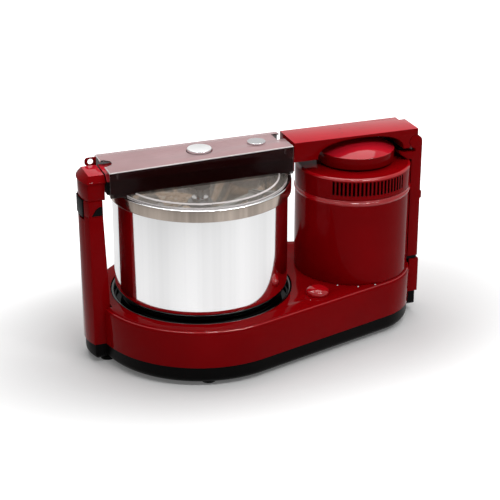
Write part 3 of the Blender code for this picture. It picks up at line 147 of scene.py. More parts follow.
def ease_edges(form, width, segments=2, angle=30, chosen=None):
    """Round the edges sharper than angle, or those of them that chosen picks by their ends."""
    edges = [e for e in form.edges if len(e.link_faces) == 2 and e.calc_face_angle(0) > radians(angle)
             and (chosen is None or all(chosen(v.co) for v in e.verts))]
    if edges:
        bmesh.ops.bevel(form, geom=edges, offset=width, segments=segments, profile=0.5,
                        affect="EDGES", clamp_overlap=True)


def slab(name, outline, low, high, along="Z", edge=0.0005, top=None, bottom=None):
    """An outline given a thickness; top and bottom are the radii of those rims."""
    form = bmesh.new()
    if along == "Z":
        spots = lambda h: [(u, v, h) for u, v in outline]
    else:
        spots = lambda h: [(u, h, v) for u, v in outline]
    lows = [form.verts.new(p) for p in spots(low)]
    highs = [form.verts.new(p) for p in spots(high)]
    form.faces.new(lows)
    form.faces.new(highs)
    for i in range(len(outline)):
        j = (i + 1) % len(outline)
        form.faces.new((lows[i], lows[j], highs[j], highs[i]))
    outward(form)
    for size, level in ((top, high), (bottom, low)):
        if size:
            rim = [e for e in form.edges if all(abs(v.co.z - level) < 1e-6 for v in e.verts)]
            bmesh.ops.bevel(form, geom=rim, offset=size, segments=7, profile=0.5, affect="EDGES",
                            clamp_overlap=False)
    if edge:
        ease_edges(form, edge)
    return made(name, form)


def block(name, low, high, edge=0.0005):
    """A box between two corners."""
    return slab(name, [(low[0], low[1]), (high[0], low[1]), (high[0], high[1]), (low[0], high[1])],
                low[2], high[2], edge=edge)


def wide_block(name, low_x, high_x, half, low_z, high_z, edge=0.0005):
    """A box that reaches half to each side of the machine's middle plane."""
    return block(name, (low_x, -half, low_z), (high_x, half, high_z), edge)


def rod(name, radius, start, end, steps=48, edge=0.0003):
    """A round bar between two points."""
    form = bmesh.new()
    start, end = Vector(start), Vector(end)
    run = end - start
    bmesh.ops.create_cone(form, cap_ends=True, segments=steps, radius1=radius, radius2=radius,
                          depth=run.length)
    if edge:
        ease_edges(form, edge, angle=40)
    bmesh.ops.transform(form, matrix=Matrix.Translation((start + end) / 2)
                        @ run.to_track_quat("Z", "Y").to_matrix().to_4x4(), verts=form.verts)
    return made(name, form)


def upright(name, radius, x, y, low, high, steps=48, edge=0.0003):
    """A round bar that stands on end."""
    return rod(name, radius, (x, y, low), (x, y, high), steps, edge)


def crosswise(name, radius, x, z, half, steps=48, edge=0.0003):
    """A round bar along Y that reaches half to each side of the middle plane."""
    return rod(name, radius, (x, -half, z), (x, half, z), steps, edge)


def carve(obj, *tools, edge=0.0, angle=32, mode="DIFFERENCE"):
    """Cut the tools out, make the result real, and ease the edges that the cuts left."""
    for tool in tools:
        change = obj.modifiers.new("change", "BOOLEAN")
        change.operation = mode
        change.solver = "EXACT"
        change.object = tool
    graph = bpy.context.evaluated_depsgraph_get()
    graph.update()
    mesh = bpy.data.meshes.new_from_object(obj.evaluated_get(graph))
    obj.modifiers.clear()
    for tool in tools:
        bpy.data.objects.remove(tool, do_unlink=True)
    form = bmesh.new()
    form.from_mesh(mesh)
    bmesh.ops.remove_doubles(form, verts=form.verts, dist=1e-6)
    join_flat(form)
    if edge:
        ease_edges(form, edge, angle=angle)
    form.to_mesh(mesh)
    form.free()
    smooth(mesh)
    old = obj.data
    obj.data = mesh
    bpy.data.meshes.remove(old)
    return obj


def merged(obj, *others):
    """Bring the others' meshes into obj as they are."""
    form = bmesh.new()
    form.from_mesh(obj.data)
    for other in others:
        form.from_mesh(other.data)
        bpy.data.objects.remove(other, do_unlink=True)
    form.to_mesh(obj.data)
    form.free()
    smooth(obj.data)
    return obj


def moved(obj, matrix):
    """Transform the mesh, so that the object itself stays at the origin."""
    obj.data.transform(matrix)
    return obj


def teardrop(inset, big_steps=112, end_steps=56):
    """The base's outline: two circles and the tangents between them."""
    big, end = BIG_RADIUS - inset, END_RADIUS - inset
    lean = acos((big - end) / AXES) * 180 / pi
    return arc((D, 0), big, lean, 360 - lean, big_steps) + arc((T, 0), end, -lean, lean, end_steps)


def bow(reach, half, inset=0.0, steps=20):
    """The bowed side that the left post, its head, the arm's end and the latch share."""
    radius = (POST_HALF ** 2 + POST_BOW ** 2) / (2 * POST_BOW)
    swing = asin(half / (radius - inset)) * 180 / pi
    return arc((D - reach + radius, 0), radius - inset, 180 - swing, 180 + swing, steps)


def post_outline(flat, inset=0.0, reach=POST_REACH):
    """The left post's outline, flat towards the drum and bowed outside."""
    half = POST_HALF - inset
    return [(D - flat - inset, -half), (D - flat - inset, half)] + bow(reach, half, inset)


def ring(outer, inner, low, high):
    """A plain tube's profile, for turned."""
    return [(outer, high), (outer, low), (inner, low), (inner, high)]


# ---------------------------------------------------------------- materials

def start(name):
    """A new material, with its node tree and its shader."""
    material = bpy.data.materials.new(name)
    material.use_nodes = True
    tree = material.node_tree
    return material, tree, tree.nodes["Principled BSDF"]


def preset(node, **values):
    """Set sockets by name, with an underscore for each space."""
    for name, value in values.items():
        node.inputs[name.replace("_", " ")].default_value = value


def noise(tree, scale, detail=3.0, rough=0.5, stretch=None):
    """Noise fixed to the object, stretched along an axis where its scale is small."""
    coords = tree.nodes.new("ShaderNodeTexCoord")
    source = coords.outputs["Object"]
    if stretch:
        mapping = tree.nodes.new("ShaderNodeMapping")
        preset(mapping, Scale=stretch)
        tree.links.new(source, mapping.inputs["Vector"])
        source = mapping.outputs["Vector"]
    texture = tree.nodes.new("ShaderNodeTexNoise")
    preset(texture, Scale=scale, Detail=detail, Roughness=rough)
    tree.links.new(source, texture.inputs["Vector"])
    return texture.outputs["Fac"]


def ramp(tree, source, stops):
    """Colours along a value, from (place, colour) stops."""
    node = tree.nodes.new("ShaderNodeValToRGB")
    while len(node.color_ramp.elements) < len(stops):
        node.color_ramp.elements.new(0.5)
    for element, (place, colour) in zip(node.color_ramp.elements, stops):
        element.position = place
        element.color = (*colour, 1)
    tree.links.new(source, node.inputs["Fac"])
    return node.outputs["Color"]


def levels(tree, source, low, high):
    """Noise spread over a range of values."""
    node = tree.nodes.new("ShaderNodeMapRange")
    preset(node, From_Min=0.3, From_Max=0.7, To_Min=low, To_Max=high)
    tree.links.new(source, node.inputs["Value"])
    return node.outputs["Result"]


def bump(tree, shader, source, strength, distance):
    """Fine relief from a value."""
    node = tree.nodes.new("ShaderNodeBump")
    preset(node, Strength=strength, Distance=distance)
    tree.links.new(source, node.inputs["Height"])
    tree.links.new(node.outputs["Normal"], shader.inputs["Normal"])


def plastic(name, colour, low, high, grain=900, strength=0.05, depth=0.0001, gloss=0.1, alpha=1.0):
    """Moulded plastic: a slight drift in colour, soft variation in gloss, fine surface texture."""
    material, tree, shader = start(name)
    drift = 0.08
    dark = tuple(c * (1 - drift) for c in colour)
    light = tuple(min(1, c * (1 + drift)) for c in colour)
    tint = ramp(tree, noise(tree, 14, 2), [(0.3, dark), (0.7, light)])
    tree.links.new(tint, shader.inputs["Base Color"])
    tree.links.new(levels(tree, noise(tree, 45, 4, 0.6), low, high), shader.inputs["Roughness"])
    bump(tree, shader, noise(tree, grain, 2), strength, depth)
    preset(shader, Specular_IOR_Level=gloss, Alpha=alpha)
    return material


def red(name, colour, low, high, strength, gloss):
    """The housing's glossy plastic, with a broad, faint waviness."""
    return plastic(name, colour, low, high, 260, strength, 0.0002, gloss)


def smoked(name, colour, gloss, alpha):
    """The lid's clear plastic, as dense as alpha says."""
    return plastic(name, colour, 0.04, 0.08, 60, 0.02, gloss=gloss, alpha=alpha)


def metal(name, colour, low, high, stretch, scale=60, strength=0.06, depth=0.00004, shift=0.04,
          streak=0.0):
    """Metal streaked along one direction in colour and gloss: fine machining grain where the stretch is
    strong, broad upright bands where the stretch flattens the height, which on the drum and its band
    are painted reflections; streak stretches its reflections upright.
    """
    material, tree, shader = start(name)
    preset(shader, Metallic=1.0)
    grain_and_painted_bands = noise(tree, scale, 4, 0.6, stretch)
    dark = tuple(c * (1 - shift) for c in colour)
    tree.links.new(ramp(tree, grain_and_painted_bands, [(0.35, dark), (0.65, colour)]), shader.inputs["Base Color"])
    tree.links.new(levels(tree, grain_and_painted_bands, low, high), shader.inputs["Roughness"])
    bump(tree, shader, grain_and_painted_bands, strength, depth)
    if streak:
        preset(shader, Anisotropic=streak, Anisotropic_Rotation=0.25)
        tangent = tree.nodes.new("ShaderNodeTangent")
        tangent.direction_type = "RADIAL"
        tangent.axis = "Z"
        tree.links.new(tangent.outputs["Tangent"], shader.inputs["Tangent"])
    return material


def stone(name, base, dark, light, scale, low=0.5, high=0.75, strength=0.25, depth=0.0003):
    """Speckled stone: mottled ground colour, dark and light crystals, pitted surface."""
    material, tree, shader = start(name)
    shadow = tuple(c * 0.85 for c in base)
    ground = ramp(tree, noise(tree, scale * 0.25, 4), [(0.35, shadow), (0.65, base)])
    coords = tree.nodes.new("ShaderNodeTexCoord")
    cells = tree.nodes.new("ShaderNodeTexVoronoi")
    preset(cells, Scale=scale)
    tree.links.new(coords.outputs["Object"], cells.inputs["Vector"])
    split = tree.nodes.new("ShaderNodeSeparateColor")
    tree.links.new(cells.outputs["Color"], split.inputs["Color"])
    for channel, colour, edge in (("Red", dark, 0.72), ("Green", light, 0.74)):
        mask = ramp(tree, split.outputs[channel], [(edge, (0, 0, 0)), (edge + 0.08, (1, 1, 1))])
        mix = tree.nodes.new("ShaderNodeMix")   # colours go in at 6 and 7 and come out at 2
        mix.data_type = "RGBA"
        tree.links.new(mask, mix.inputs[0])
        tree.links.new(ground, mix.inputs[6])
        mix.inputs[7].default_value = (*colour, 1)
        ground = mix.outputs[2]
    tree.links.new(ground, shader.inputs["Base Color"])
    tree.links.new(levels(tree, noise(tree, scale, 3), low, high), shader.inputs["Roughness"])
    bump(tree, shader, noise(tree, scale * 1.6, 5, 0.65), strength, depth)
    return material


RED = red("gloss_red", (0.250, 0.0008, 0.0024), 0.04, 0.08, 0.03, 0.025)
# A lighter, glossier copy of the red for the rows of rim faces that face the lamps, and for the knob:
# the gloss is real, the lighter colour is painted highlight.
RED_HIGHLIGHT = red("gloss_red_painted_highlight", (0.480, 0.0030, 0.0070), 0.03, 0.06, 0.01, 0.6)
# A much lighter red for the faces that face up, on the dome, the beam and the end block: painted light.
RED_LIT_TOP = red("gloss_red_painted_top_light", (0.600, 0.0100, 0.0240), 0.06, 0.10, 0.02, 0.3)
BLACK = plastic("gloss_black", (0.0020, 0.0018, 0.0020), 0.05, 0.09, grain=500, strength=0.03,
                gloss=0.06)
BLACK_LIP = plastic("gloss_black_rims", (0.0022, 0.0022, 0.0026), 0.05, 0.08, grain=500, strength=0.02,
                    gloss=0.8)
PAN = plastic("pan_black", (0.0024, 0.0020, 0.0020), 0.30, 0.42, grain=1600, strength=0.2, gloss=0.04)
SATIN = plastic("satin_black", (0.0030, 0.0026, 0.0028), 0.32, 0.5, grain=1600, strength=0.3,
                gloss=0.06)
RUBBER = plastic("foot_rubber_skin", (0.012, 0.012, 0.012), 0.65, 0.85, grain=2200, strength=0.5)
BELT = plastic("belt_rubber_skin", (0.02, 0.019, 0.018), 0.55, 0.8, grain=1800, strength=0.5)
WHITE = plastic("milky_plastic", (0.66, 0.65, 0.62), 0.3, 0.45, grain=1200, strength=0.15, gloss=0.3)
# The drum's colour darkens in broad upright bands: painted reflection.
STEEL = metal("polished_drum_steel", (0.97, 0.97, 0.975), 0.06, 0.09, (1, 1, 0), scale=22, strength=0.0,
              shift=0.14, streak=0.5)
# The band's colour darkens strongly in broad upright bands: painted reflection.
BAND = metal("rim_band_steel", (0.56, 0.475, 0.41), 0.14, 0.20, (1, 1, 0), scale=34, shift=0.5,
             streak=0.5)
BRIGHT = metal("bright_steel", (0.82, 0.82, 0.83), 0.12, 0.2, (40, 1, 1), scale=30)
CAP = metal("cap_steel", (0.97, 0.97, 0.97), 0.36, 0.44, (1, 1, 1), scale=30)
DULL = metal("machined_steel", (0.50, 0.50, 0.51), 0.32, 0.48, (30, 30, 2), scale=30, strength=0.12)
CAST = stone("cast_metal_skin", (0.26, 0.27, 0.28), (0.17, 0.18, 0.19), (0.33, 0.34, 0.35), 900,
             0.45, 0.6, 0.3, 0.0002)
CORE = metal("core_iron_skin", (0.30, 0.31, 0.33), 0.4, 0.55, (1, 1, 200), scale=20, strength=0.4,
             depth=0.0002)
WIRE = metal("winding_wire_skin", (0.62, 0.27, 0.11), 0.3, 0.42, (1, 1, 120), scale=24, strength=0.6,
             depth=0.0004, shift=0.25)
BED = stone("granite_bed_skin", (0.64, 0.58, 0.52), (0.34, 0.31, 0.28), (0.80, 0.76, 0.70), 420)
ROLLER = stone("roller_granite_skin", (0.90, 0.68, 0.50), (0.66, 0.48, 0.35), (0.95, 0.82, 0.68), 520)
# A darker granite for every other sector of the stones.
ROLLER_DARK = stone("roller_granite_dressing", (0.36, 0.33, 0.30), (0.20, 0.18, 0.16),
                    (0.52, 0.49, 0.45), 520)
LID = smoked("smoked_disc", (0.58, 0.52, 0.46), 0.5, 0.11)
# Copies of the smoked plastic for the lid's faces: painted shade on the tunnel's walls, painted sheen
# on its roof, painted highlight on the edges and the rim's steps.
LID_WALL_SHADE = smoked("smoked_wall_painted_shade", (0.012, 0.001, 0.001), 0.1, 0.76)
LID_ROOF_SHEEN = smoked("smoked_roof_painted_sheen", (0.64, 0.41, 0.42), 0.3, 0.70)
LID_EDGE_HIGHLIGHT = smoked("smoked_edge_painted_highlight", (0.90, 0.84, 0.83), 0.5, 0.85)
LID_STEP_HIGHLIGHT = smoked("smoked_step_painted_highlight", (0.72, 0.69, 0.66), 0.5, 0.45)


def give(obj, look, body, slot, *nodes):
    """Material, body and the CAD nodes that the piece stands for; slot is not used."""
    obj.data.materials.clear()
    obj.data.materials.append(look)
    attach(obj, body)
    if nodes:
        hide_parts(*nodes)
    return obj


def accent(obj, look, chosen):
    """A second material on the faces that chosen picks by their centre and direction."""
    obj.data.materials.append(look)
    for face in obj.data.polygons:
        if chosen(face.center, face.normal):
            face.material_index = len(obj.data.materials) - 1


# ---------------------------------------------------------------- base

HOLE_LOW, HOLE_TOP = 0.070, 0.090           # cutters for the holes in the cover's top

cover = slab("cover_shell", teardrop(0), COVER_LOW, COVER_TOP, edge=0, top=0.0060)
hollow = slab("hollow", teardrop(0.003, 60, 30), 0.0200, CHAMBER_TOP, edge=0)
seat = slab("seat", post_outline(0.1287, -0.0003), 0.0200, 0.0850, edge=0)
carve(cover, hollow,
      upright("well", 0.1193, D, 0, HOLE_LOW, HOLE_TOP, 160, 0),
      upright("motor_hole", 0.0600, T, 0, HOLE_LOW, HOLE_TOP, 64, 0),
      upright("knob_hole", 0.0045, KX, KY, HOLE_LOW, HOLE_TOP, 24, 0),
      seat, edge=0.0007, angle=40)
give(cover, RED, "housing", "red_plastic", "base_cover")
# The row of rim faces turned towards the lamps takes the lighter red: painted highlight.
accent(cover, RED_HIGHLIGHT, lambda p, n: p.z > 0.0719 and 0.6 < n.z < 0.78)

pan = slab("pan_shell", teardrop(0.0015), 0.0040, 0.0270, edge=0, bottom=0.0100)
carve(pan, slab("pan_hollow", teardrop(0.0045, 60, 30), 0.0070, 0.0310, edge=0, bottom=0.0070))
BOSS_CIRCLE = 0.0960
bosses = [(D + BOSS_CIRCLE * cos(radians(a)), BOSS_CIRCLE * sin(radians(a)))
          for a in (65, 125, 235, 295)]
bosses += [(T, 0.0400), (T, -0.0400)]
extra = [upright("boss", 0.0055, x, y, 0.0067, 0.0417, 24) for x, y in bosses]
extra += [upright("pad", 0.0100, D + x, side * y, 0.0006, 0.0055, edge=0.0008)
          for x, y in ((0.1180, 0.0840), (-0.1330, 0.0130)) for side in (-1, 1)]
extra.append(slab("shoe", post_outline(0.1290, 0.0020), 0.0046, 0.0267, edge=0.0004, bottom=0.0080))
extra.append(carve(wide_block("post_foot", D + 0.2835, D + 0.3015, 0.0235, 0.0125, 0.0322, 0.0010),
                   upright("foot_space", BLOCK_SPACE, T, 0, 0.0271, 0.0350, 128, 0)))
give(merged(pan, *extra), PAN, "housing", "black_plastic", "base_pan")

FEET = [(x, side * y) for x, y in ((-0.0300, 0.1170), (0.2220, 0.0560)) for side in (-1, 1)]
for number, (x, y) in enumerate(FEET, 1):
    foot = turned("foot_%d" % number,
                  [(0, 0), (0.0088, 0), (0.0100, 0.0012), (0.0100, 0.0037), (0, 0.0037)],
                  0.0003, (D + x, y), 48, closed=False)
    give(foot, RUBBER, "housing", "foot_rubber", "rubber_foot_%d" % number)

dish = turned("well_ring", [(0.1190, 0.0772), (0.1190, 0.0600), (0.0215, 0.0600), (0.0215, 0.0625),
                            (0.1165, 0.0625, 0.004), (0.1165, 0.0735)]
              + arc((0.1166, 0.0748), 0.0024, 200, 0, 12), 0.0002, steps=160)
give(dish, BLACK, "housing", "black_plastic", "well_dish")
accent(dish, BLACK_LIP, lambda p, n: p.z > 0.0738 and n.z > 0.15)

# ---------------------------------------------------------------- drum set

DRUM_RADIUS, DRUM_INSIDE = 0.1130, 0.1118
DRUM_LOW, DRUM_TOP = 0.0733, 0.2273
DRUM_CORNER, INNER_CORNER = 0.0190, 0.0178
BAND_RADIUS, BAND_LOW, BAND_TOP = 0.1175, 0.2135, 0.2290
BED_LOW, BED_TOP = 0.0748, 0.0948

table = turned("table_disc", [(0, 0.0730), (0.1055, 0.0730, 0.0024), (0.1055, 0.0668, 0.0024),
                              (0.0165, 0.0668), (0.0165, 0.0638), (0.0078, 0.0638), (0.0078, 0.0700),
                              (0, 0.0700)], 0.0004, steps=160, closed=False)
give(table, BLACK, "drum_set", "black_plastic", "turntable")

corner = (DRUM_RADIUS - DRUM_CORNER, DRUM_LOW + DRUM_CORNER)
drum = turned("drum_shell", [(0, 0.0745)] + arc(corner, INNER_CORNER, -90, 0, 14)
              + [(DRUM_INSIDE, DRUM_TOP), (DRUM_RADIUS, DRUM_TOP)]
              + arc(corner, DRUM_CORNER, 0, -90, 14) + [(0, DRUM_LOW)], 0.0003, steps=192, closed=False)
give(drum, STEEL, "drum_set", "polished_steel", "drum")
band = turned("rim_hoop", [(0.1095, BAND_TOP), (BAND_RADIUS, BAND_TOP, 0.0016),
                           (BAND_RADIUS, BAND_LOW, 0.0012), (0.1133, BAND_LOW), (0.1133, 0.2276),
                           (0.1095, 0.2276)], 0.0004, steps=192)
give(band, BAND, "drum_set", "polished_steel", "drum_rim_band")
# The band's top faces take the paler drum steel: painted highlight.
accent(band, STEEL, lambda p, n: n.z > 0.25)
bed = turned("bed_stone", [(0.0175, BED_TOP), (0.1113, BED_TOP, 0.001)] + arc(corner, 0.0175, 0, -90, 8)
             + [(0.0175, BED_LOW)], 0.0006, steps=96)
give(bed, BED, "drum_set", "granite", "granite_bed")
post = turned("centre_pin", [(0, 0.1860), (0.0075, 0.1860, 0.001), (0.0075, 0.0963), (0.0170, 0.0958),
                             (0.0170, BED_LOW), (0, BED_LOW)], 0.0004, steps=48, closed=False)
give(post, BRIGHT, "drum_set", "steel", "drum_centre_post")

# ---------------------------------------------------------------- stones, carrier, scraper

TILT = radians(20)                  # each stone's cone angle and its axle's rise
CONE_NEAR, CONE_FAR = 0.0300, 0.1020
AXLE_RADIUS, NUT_RADIUS, FACE_RADIUS = 0.0035, 0.0072, 0.0105
STONE_STEPS, GROOVE_EVERY, GROOVE_DEPTH = 72, 9, 0.955      # eight grooves along each stone

cone_base = Vector((D, 0, BED_TOP + 0.0004))
hub = turned("carrier_hub", [(0, 0.1970), (0.0160, 0.1970, 0.0015), (0.0160, 0.1915), (0.0120, 0.1915),
                             (0.0120, 0.1193), (0.0190, 0.1193), (0.0190, 0.0978), (0.0080, 0.0978),
                             (0.0080, 0.1863), (0, 0.1863)], 0.0005, steps=64, closed=False)
give(hub, DULL, "housing", "steel", "stone_carrier")
for number, angle in enumerate((90, 210, 330), 1):
    flat = Vector((cos(radians(angle)), sin(radians(angle)), 0))
    way = flat * cos(TILT) + Vector((0, 0, sin(TILT)))
    near, far = CONE_NEAR * cos(TILT), CONE_FAR * cos(TILT)
    r1, r2 = CONE_NEAR * sin(TILT), CONE_FAR * sin(TILT)
    turn = Matrix.Translation(cone_base) @ way.to_track_quat("Z", "Y").to_matrix().to_4x4()
    cone = turned("stone_%d" % number, [(r2 - 0.0004, far, 0.0016), (r1, near, 0.0008), (0.0041, near),
                                        (0.0041, far), (0.0085, far, 0.0006), (0.0085, far - 0.0008),
                                        (FACE_RADIUS, far - 0.0008), (FACE_RADIUS, far)],
                  0.0006, (0, 0), STONE_STEPS)
    for vertex in cone.data.vertices:
        around = degrees(atan2(vertex.co.y, vertex.co.x))
        step = int(round(around / (360 / STONE_STEPS))) % STONE_STEPS
        if step % GROOVE_EVERY == 0 and vertex.co.xy.length > r1 * 0.9:
            vertex.co.xy *= GROOVE_DEPTH
    give(cone, ROLLER, "roller_%d" % number, "roller_granite", "roller_stone_%d" % number)
    # Every other eighth of each stone, around its axis, takes the darker granite.
    accent(cone, ROLLER_DARK, lambda p, n: int((degrees(atan2(p.y, p.x)) + 360) % 360 / 45) % 2 == 1)
    moved(cone, turn)
    axle = turned("axle_%d" % number,
                  [(0, 0.0120), (AXLE_RADIUS, 0.0120), (AXLE_RADIUS, far + 0.0005),
                   (NUT_RADIUS, far + 0.0005), (NUT_RADIUS, far + 0.0055), (AXLE_RADIUS, far + 0.0055),
                   (AXLE_RADIUS, far + 0.0070), (0, far + 0.0070)], 0.0004, (0, 0), 32, closed=False)
    give(moved(axle, turn), DULL, "housing", "steel", "roller_axle_%d" % number)

scraper = turned("scraper_clamp", ring(0.0180, 0.0123, 0.1700, 0.1760), 0.0005, steps=48)
turn = Matrix.Translation((D, 0, 0)) @ Matrix.Rotation(radians(30), 4, "Z")
arm_bar = moved(wide_block("bar", 0.0155, 0.1075, 0.0050, 0.1708, 0.1752, 0.0008), turn)
blade = moved(wide_block("blade", 0.1058, 0.1093, 0.0090, 0.0963, 0.1772, 0.0010), turn)
give(merged(scraper, arm_bar, blade), WHITE, "housing", "white_plastic", "drum_scraper")

# ---------------------------------------------------------------- tower

TOWER_RADIUS, TOWER_INSIDE, BEAD_RADIUS = 0.0765, 0.0740, 0.0775
TOWER_TOP, CROWN_LOW, CROWN_TOP = 0.1965, 0.1968, 0.2262
SLOT_COUNT, SLOT_TURN = 20, 4.0
CAP_X, CAP_RADIUS, CAP_LOW = T + 0.0035, 0.0510, 0.2288
DOME_RADIUS, DOME_LOW, DOME_RISE, DOME_POWER = 0.0505, 0.2445, 0.0117, 2.5


def off_tower(p):
    """Distance from the tower's axis."""
    return Vector((p.x - T, p.y)).length


def dome_rise(share):
    """The dome's height over its edge, at a share of its radius."""
    return DOME_RISE * (1 - share ** DOME_POWER)


def dome(reach, low, steps):
    """The cap's dome as a profile, from the middle out."""
    return [(reach * i / steps, low + dome_rise(i / steps)) for i in range(steps + 1)]


tower = turned("tower_shell", [(TOWER_RADIUS, TOWER_TOP, 0.0008), (TOWER_RADIUS, 0.1940, 0.0004),
                               (BEAD_RADIUS, 0.1930, 0.0006), (BEAD_RADIUS, 0.1905, 0.0006),
                               (TOWER_RADIUS, 0.1895, 0.0004), (TOWER_RADIUS, STAND, 0.0006),
                               (TOWER_INSIDE, STAND), (TOWER_INSIDE, TOWER_TOP)], 0.0003, (T, 0), 160)
give(tower, RED, "housing", "red_plastic", "tower_housing")
# The bead's outer faces take the lighter red: painted highlight.
accent(tower, RED_HIGHLIGHT, lambda p, n: 0.1890 < p.z < 0.1970 and off_tower(p) > 0.0762)
vents = turned("vent_crown", [(0.0300, CROWN_TOP)] + arc((0.0725, 0.2222), 0.0040, 90, 0, 8)
               + [(TOWER_RADIUS, CROWN_LOW, 0.0008), (TOWER_INSIDE, CROWN_LOW), (TOWER_INSIDE, 0.2237),
                  (0.0300, 0.2237)], 0.0003, (T, 0), 160)
slots = None
for facing in (-94, 86):
    for number in range(SLOT_COUNT):
        angle = facing + (number - (SLOT_COUNT - 1) / 2) * SLOT_TURN
        one = moved(wide_block("slot", 0.0700, 0.0805, 0.0015, 0.2030, 0.2215, 0.0006),
                    Matrix.Translation((T, 0, 0)) @ Matrix.Rotation(radians(angle), 4, "Z"))
        slots = merged(slots, one) if slots else one
carve(vents, slots, edge=0.0003, angle=40)
give(vents, RED, "housing", "red_plastic", "vent_ring")
# The crown's rounded rim takes the lighter red: painted highlight.
accent(vents, RED_HIGHLIGHT, lambda p, n: p.z > 0.2225 and 0.15 < n.z < 0.97)
# The crown's inner wall takes the satin black, so the slots look dark inside: painted shade.
accent(vents, SATIN, lambda p, n: p.z < 0.2225 and off_tower(p) < 0.0760)

cap = turned("domed_cap", dome(DOME_RADIUS, DOME_LOW, 24)
             + [(CAP_RADIUS, 0.2441), (CAP_RADIUS, CAP_LOW, 0.0010), (0.0485, CAP_LOW),
                (0.0485, 0.2420)]
             + dome(0.0470, 0.2422, 10)[::-1], 0.0003, (CAP_X, 0), 144, closed=False)
give(cap, RED, "housing", "red_plastic", "tower_cap")
# The dome's top takes the lighter top red, painted light; the rim's rounded edge takes the lighter rim
# red, painted highlight.
accent(cap, RED_LIT_TOP, lambda p, n: p.z > 0.2446 and n.z > 0.3)
accent(cap, RED_HIGHLIGHT, lambda p, n: 0.2434 < p.z < 0.2446 and 0.1 < n.z < 0.9)
# The collar under the cap is black, for the dark gap between cap and crown: painted shade.
collar = turned("collar_under_cap", ring(0.0440, 0.0380, 0.2265, 0.2458), 0.0004, (CAP_X, 0), 96)
give(collar, BLACK, "housing", "black_plastic", "cap_collar")

# ---------------------------------------------------------------- posts

PIN_RADIUS, PIN_BORE, EAR_RADIUS = 0.0030, 0.0033, 0.0091
EAR_LOW = 0.2365                            # bottom of the slot between the right post's ears


def latch_pocket():
    """The space for the latch lever in the left post and its head."""
    return wide_block("pocket", D - 0.1650, D - 0.1501, 0.0159, 0.1975, 0.2300, 0)


left = slab("left_column", post_outline(0.1290), COVER_LOW, 0.2030, edge=0)
for vertex in left.data.vertices:
    if vertex.co.z > 0.2 and vertex.co.x > D - 0.1300:
        vertex.co.x -= 0.0060               # the side towards the drum leans back
carve(left, latch_pocket(), edge=0.0007)
give(left, RED, "housing", "red_plastic", "left_post")


def shade_insert_outline(room):
    """The slanted black piece in the head's hollow, where it lies in shade: painted shade; room makes
    the space for it.
    """
    return [(D - 0.1490 - room * 2, 0.2045 - room), (D - 0.1362 + room, 0.2045 - room),
            (D - 0.1362 + room, 0.2160 + room), (D - 0.1392 - room, 0.2160 + room),
            (D - 0.1440 - room, 0.2128 + room)]


head = slab("left_head", post_outline(0.1350), 0.2033, 0.2237, edge=0)
carve(head, latch_pocket(),
      slab("insert_space", shade_insert_outline(0.0003), -0.0310, 0.0310, along="Y", edge=0),
      crosswise("bore", 0.0015, LX, LZ, 0.0200, 24, 0), edge=0.0005)
give(head, RED, "housing", "red_plastic", "left_post_head")
# A black piece that fills the head's shaded hollow: painted shade.
insert = slab("painted_shade_insert", shade_insert_outline(0), -POST_HALF, POST_HALF, along="Y", edge=0.0005)
give(insert, SATIN, "housing", "black_plastic", "head_insert")

right_outline = [(D + 0.3010, 0.0863)] + arc((PX, PZ), EAR_RADIUS, 0, 265, 40)
right_outline += [(PX - EAR_RADIUS * cos(radians(85)) / 2, EAR_LOW), (D + 0.2705, EAR_LOW),
                  (D + 0.2705, 0.2340), (D + 0.2800, 0.2278), (D + 0.2790, 0.2253),
                  (D + 0.2790, 0.0863)]
right = slab("right_column", right_outline, -POST_HALF, POST_HALF, along="Y", edge=0)
carve(right, upright("tower_space", TOWER_SPACE, T, 0, 0.0800, 0.2267, 128, 0),
      wide_block("ear_slot", D + 0.2665, D + 0.3075, 0.0160, EAR_LOW, 0.2631, 0),
      crosswise("ear_bore", PIN_BORE, PX, PZ, 0.0258, 32, 0), edge=0.0006, angle=38)
ridge = wide_block("ridge", D + 0.2998, D + 0.3034, 0.0262, 0.1690, 0.1795, 0.0009)
give(merged(right, ridge), RED, "housing", "red_plastic", "right_post")
seal = wide_block("dark_seal", D + 0.2790, D + 0.3004, 0.0252, 0.0814, 0.0860, 0)
carve(seal, upright("seal_space", 0.0770, T, 0, 0.0770, 0.0900, 128, 0), edge=0.0004)
give(seal, SATIN, "housing", "black_plastic", "right_post_seal")
lower = wide_block("lower_block", D + 0.2800, D + 0.3035, POST_HALF, 0.0325, 0.0811, 0)
carve(lower, upright("block_space", BLOCK_SPACE, T, 0, 0.0250, 0.0860, 128, 0), edge=0.0008, angle=38)
give(lower, RED, "housing", "red_plastic", "right_post_block")
# Dark blocks that fill the hinge's gap and the corner beside the dome: painted shade.
shade = wide_block("ear_shade", D + 0.2715, D + 0.2850, 0.0156, 0.2366, 0.2402, 0.0004)
rear_shade = block("rear_shade", (D + 0.2662, 0.0166, 0.2366), (D + 0.2822, 0.0256, 0.2423), 0.0004)
give(merged(shade, rear_shade), SATIN, "housing", "black_plastic")
pin = crosswise("hinge_rod", PIN_RADIUS, PX, PZ, 0.0255, 32, 0.0005)
give(pin, BRIGHT, "housing", "steel", "hinge_pin")

# ---------------------------------------------------------------- arm

ARM_END, STEP_X = D - 0.1285, D + 0.1195    # the end over the left post, the step up to the beam
ARM_LOW, ARM_TOP = 0.2305, 0.2554
BEAM_LOW, BEAM_TOP = 0.2425, 0.2683
CHANNEL_HALF = 0.0239                       # half width of the hollow under the arm
CHANNEL_LOW = 0.2385                        # where the beam's cuts begin, below the beam
HIP_OUT, HIP_IN = 0.0304, 0.0190            # the arm's top slopes down from HIP_IN to its sides
HIP_FALL, HIP_RUN = 0.0076, 0.0074
ARCH_POWER = 2 / 2.4
DOT_TOP, DOT_EDGE = 0.26836, 0.26833        # the two dots stand a hair above the beam

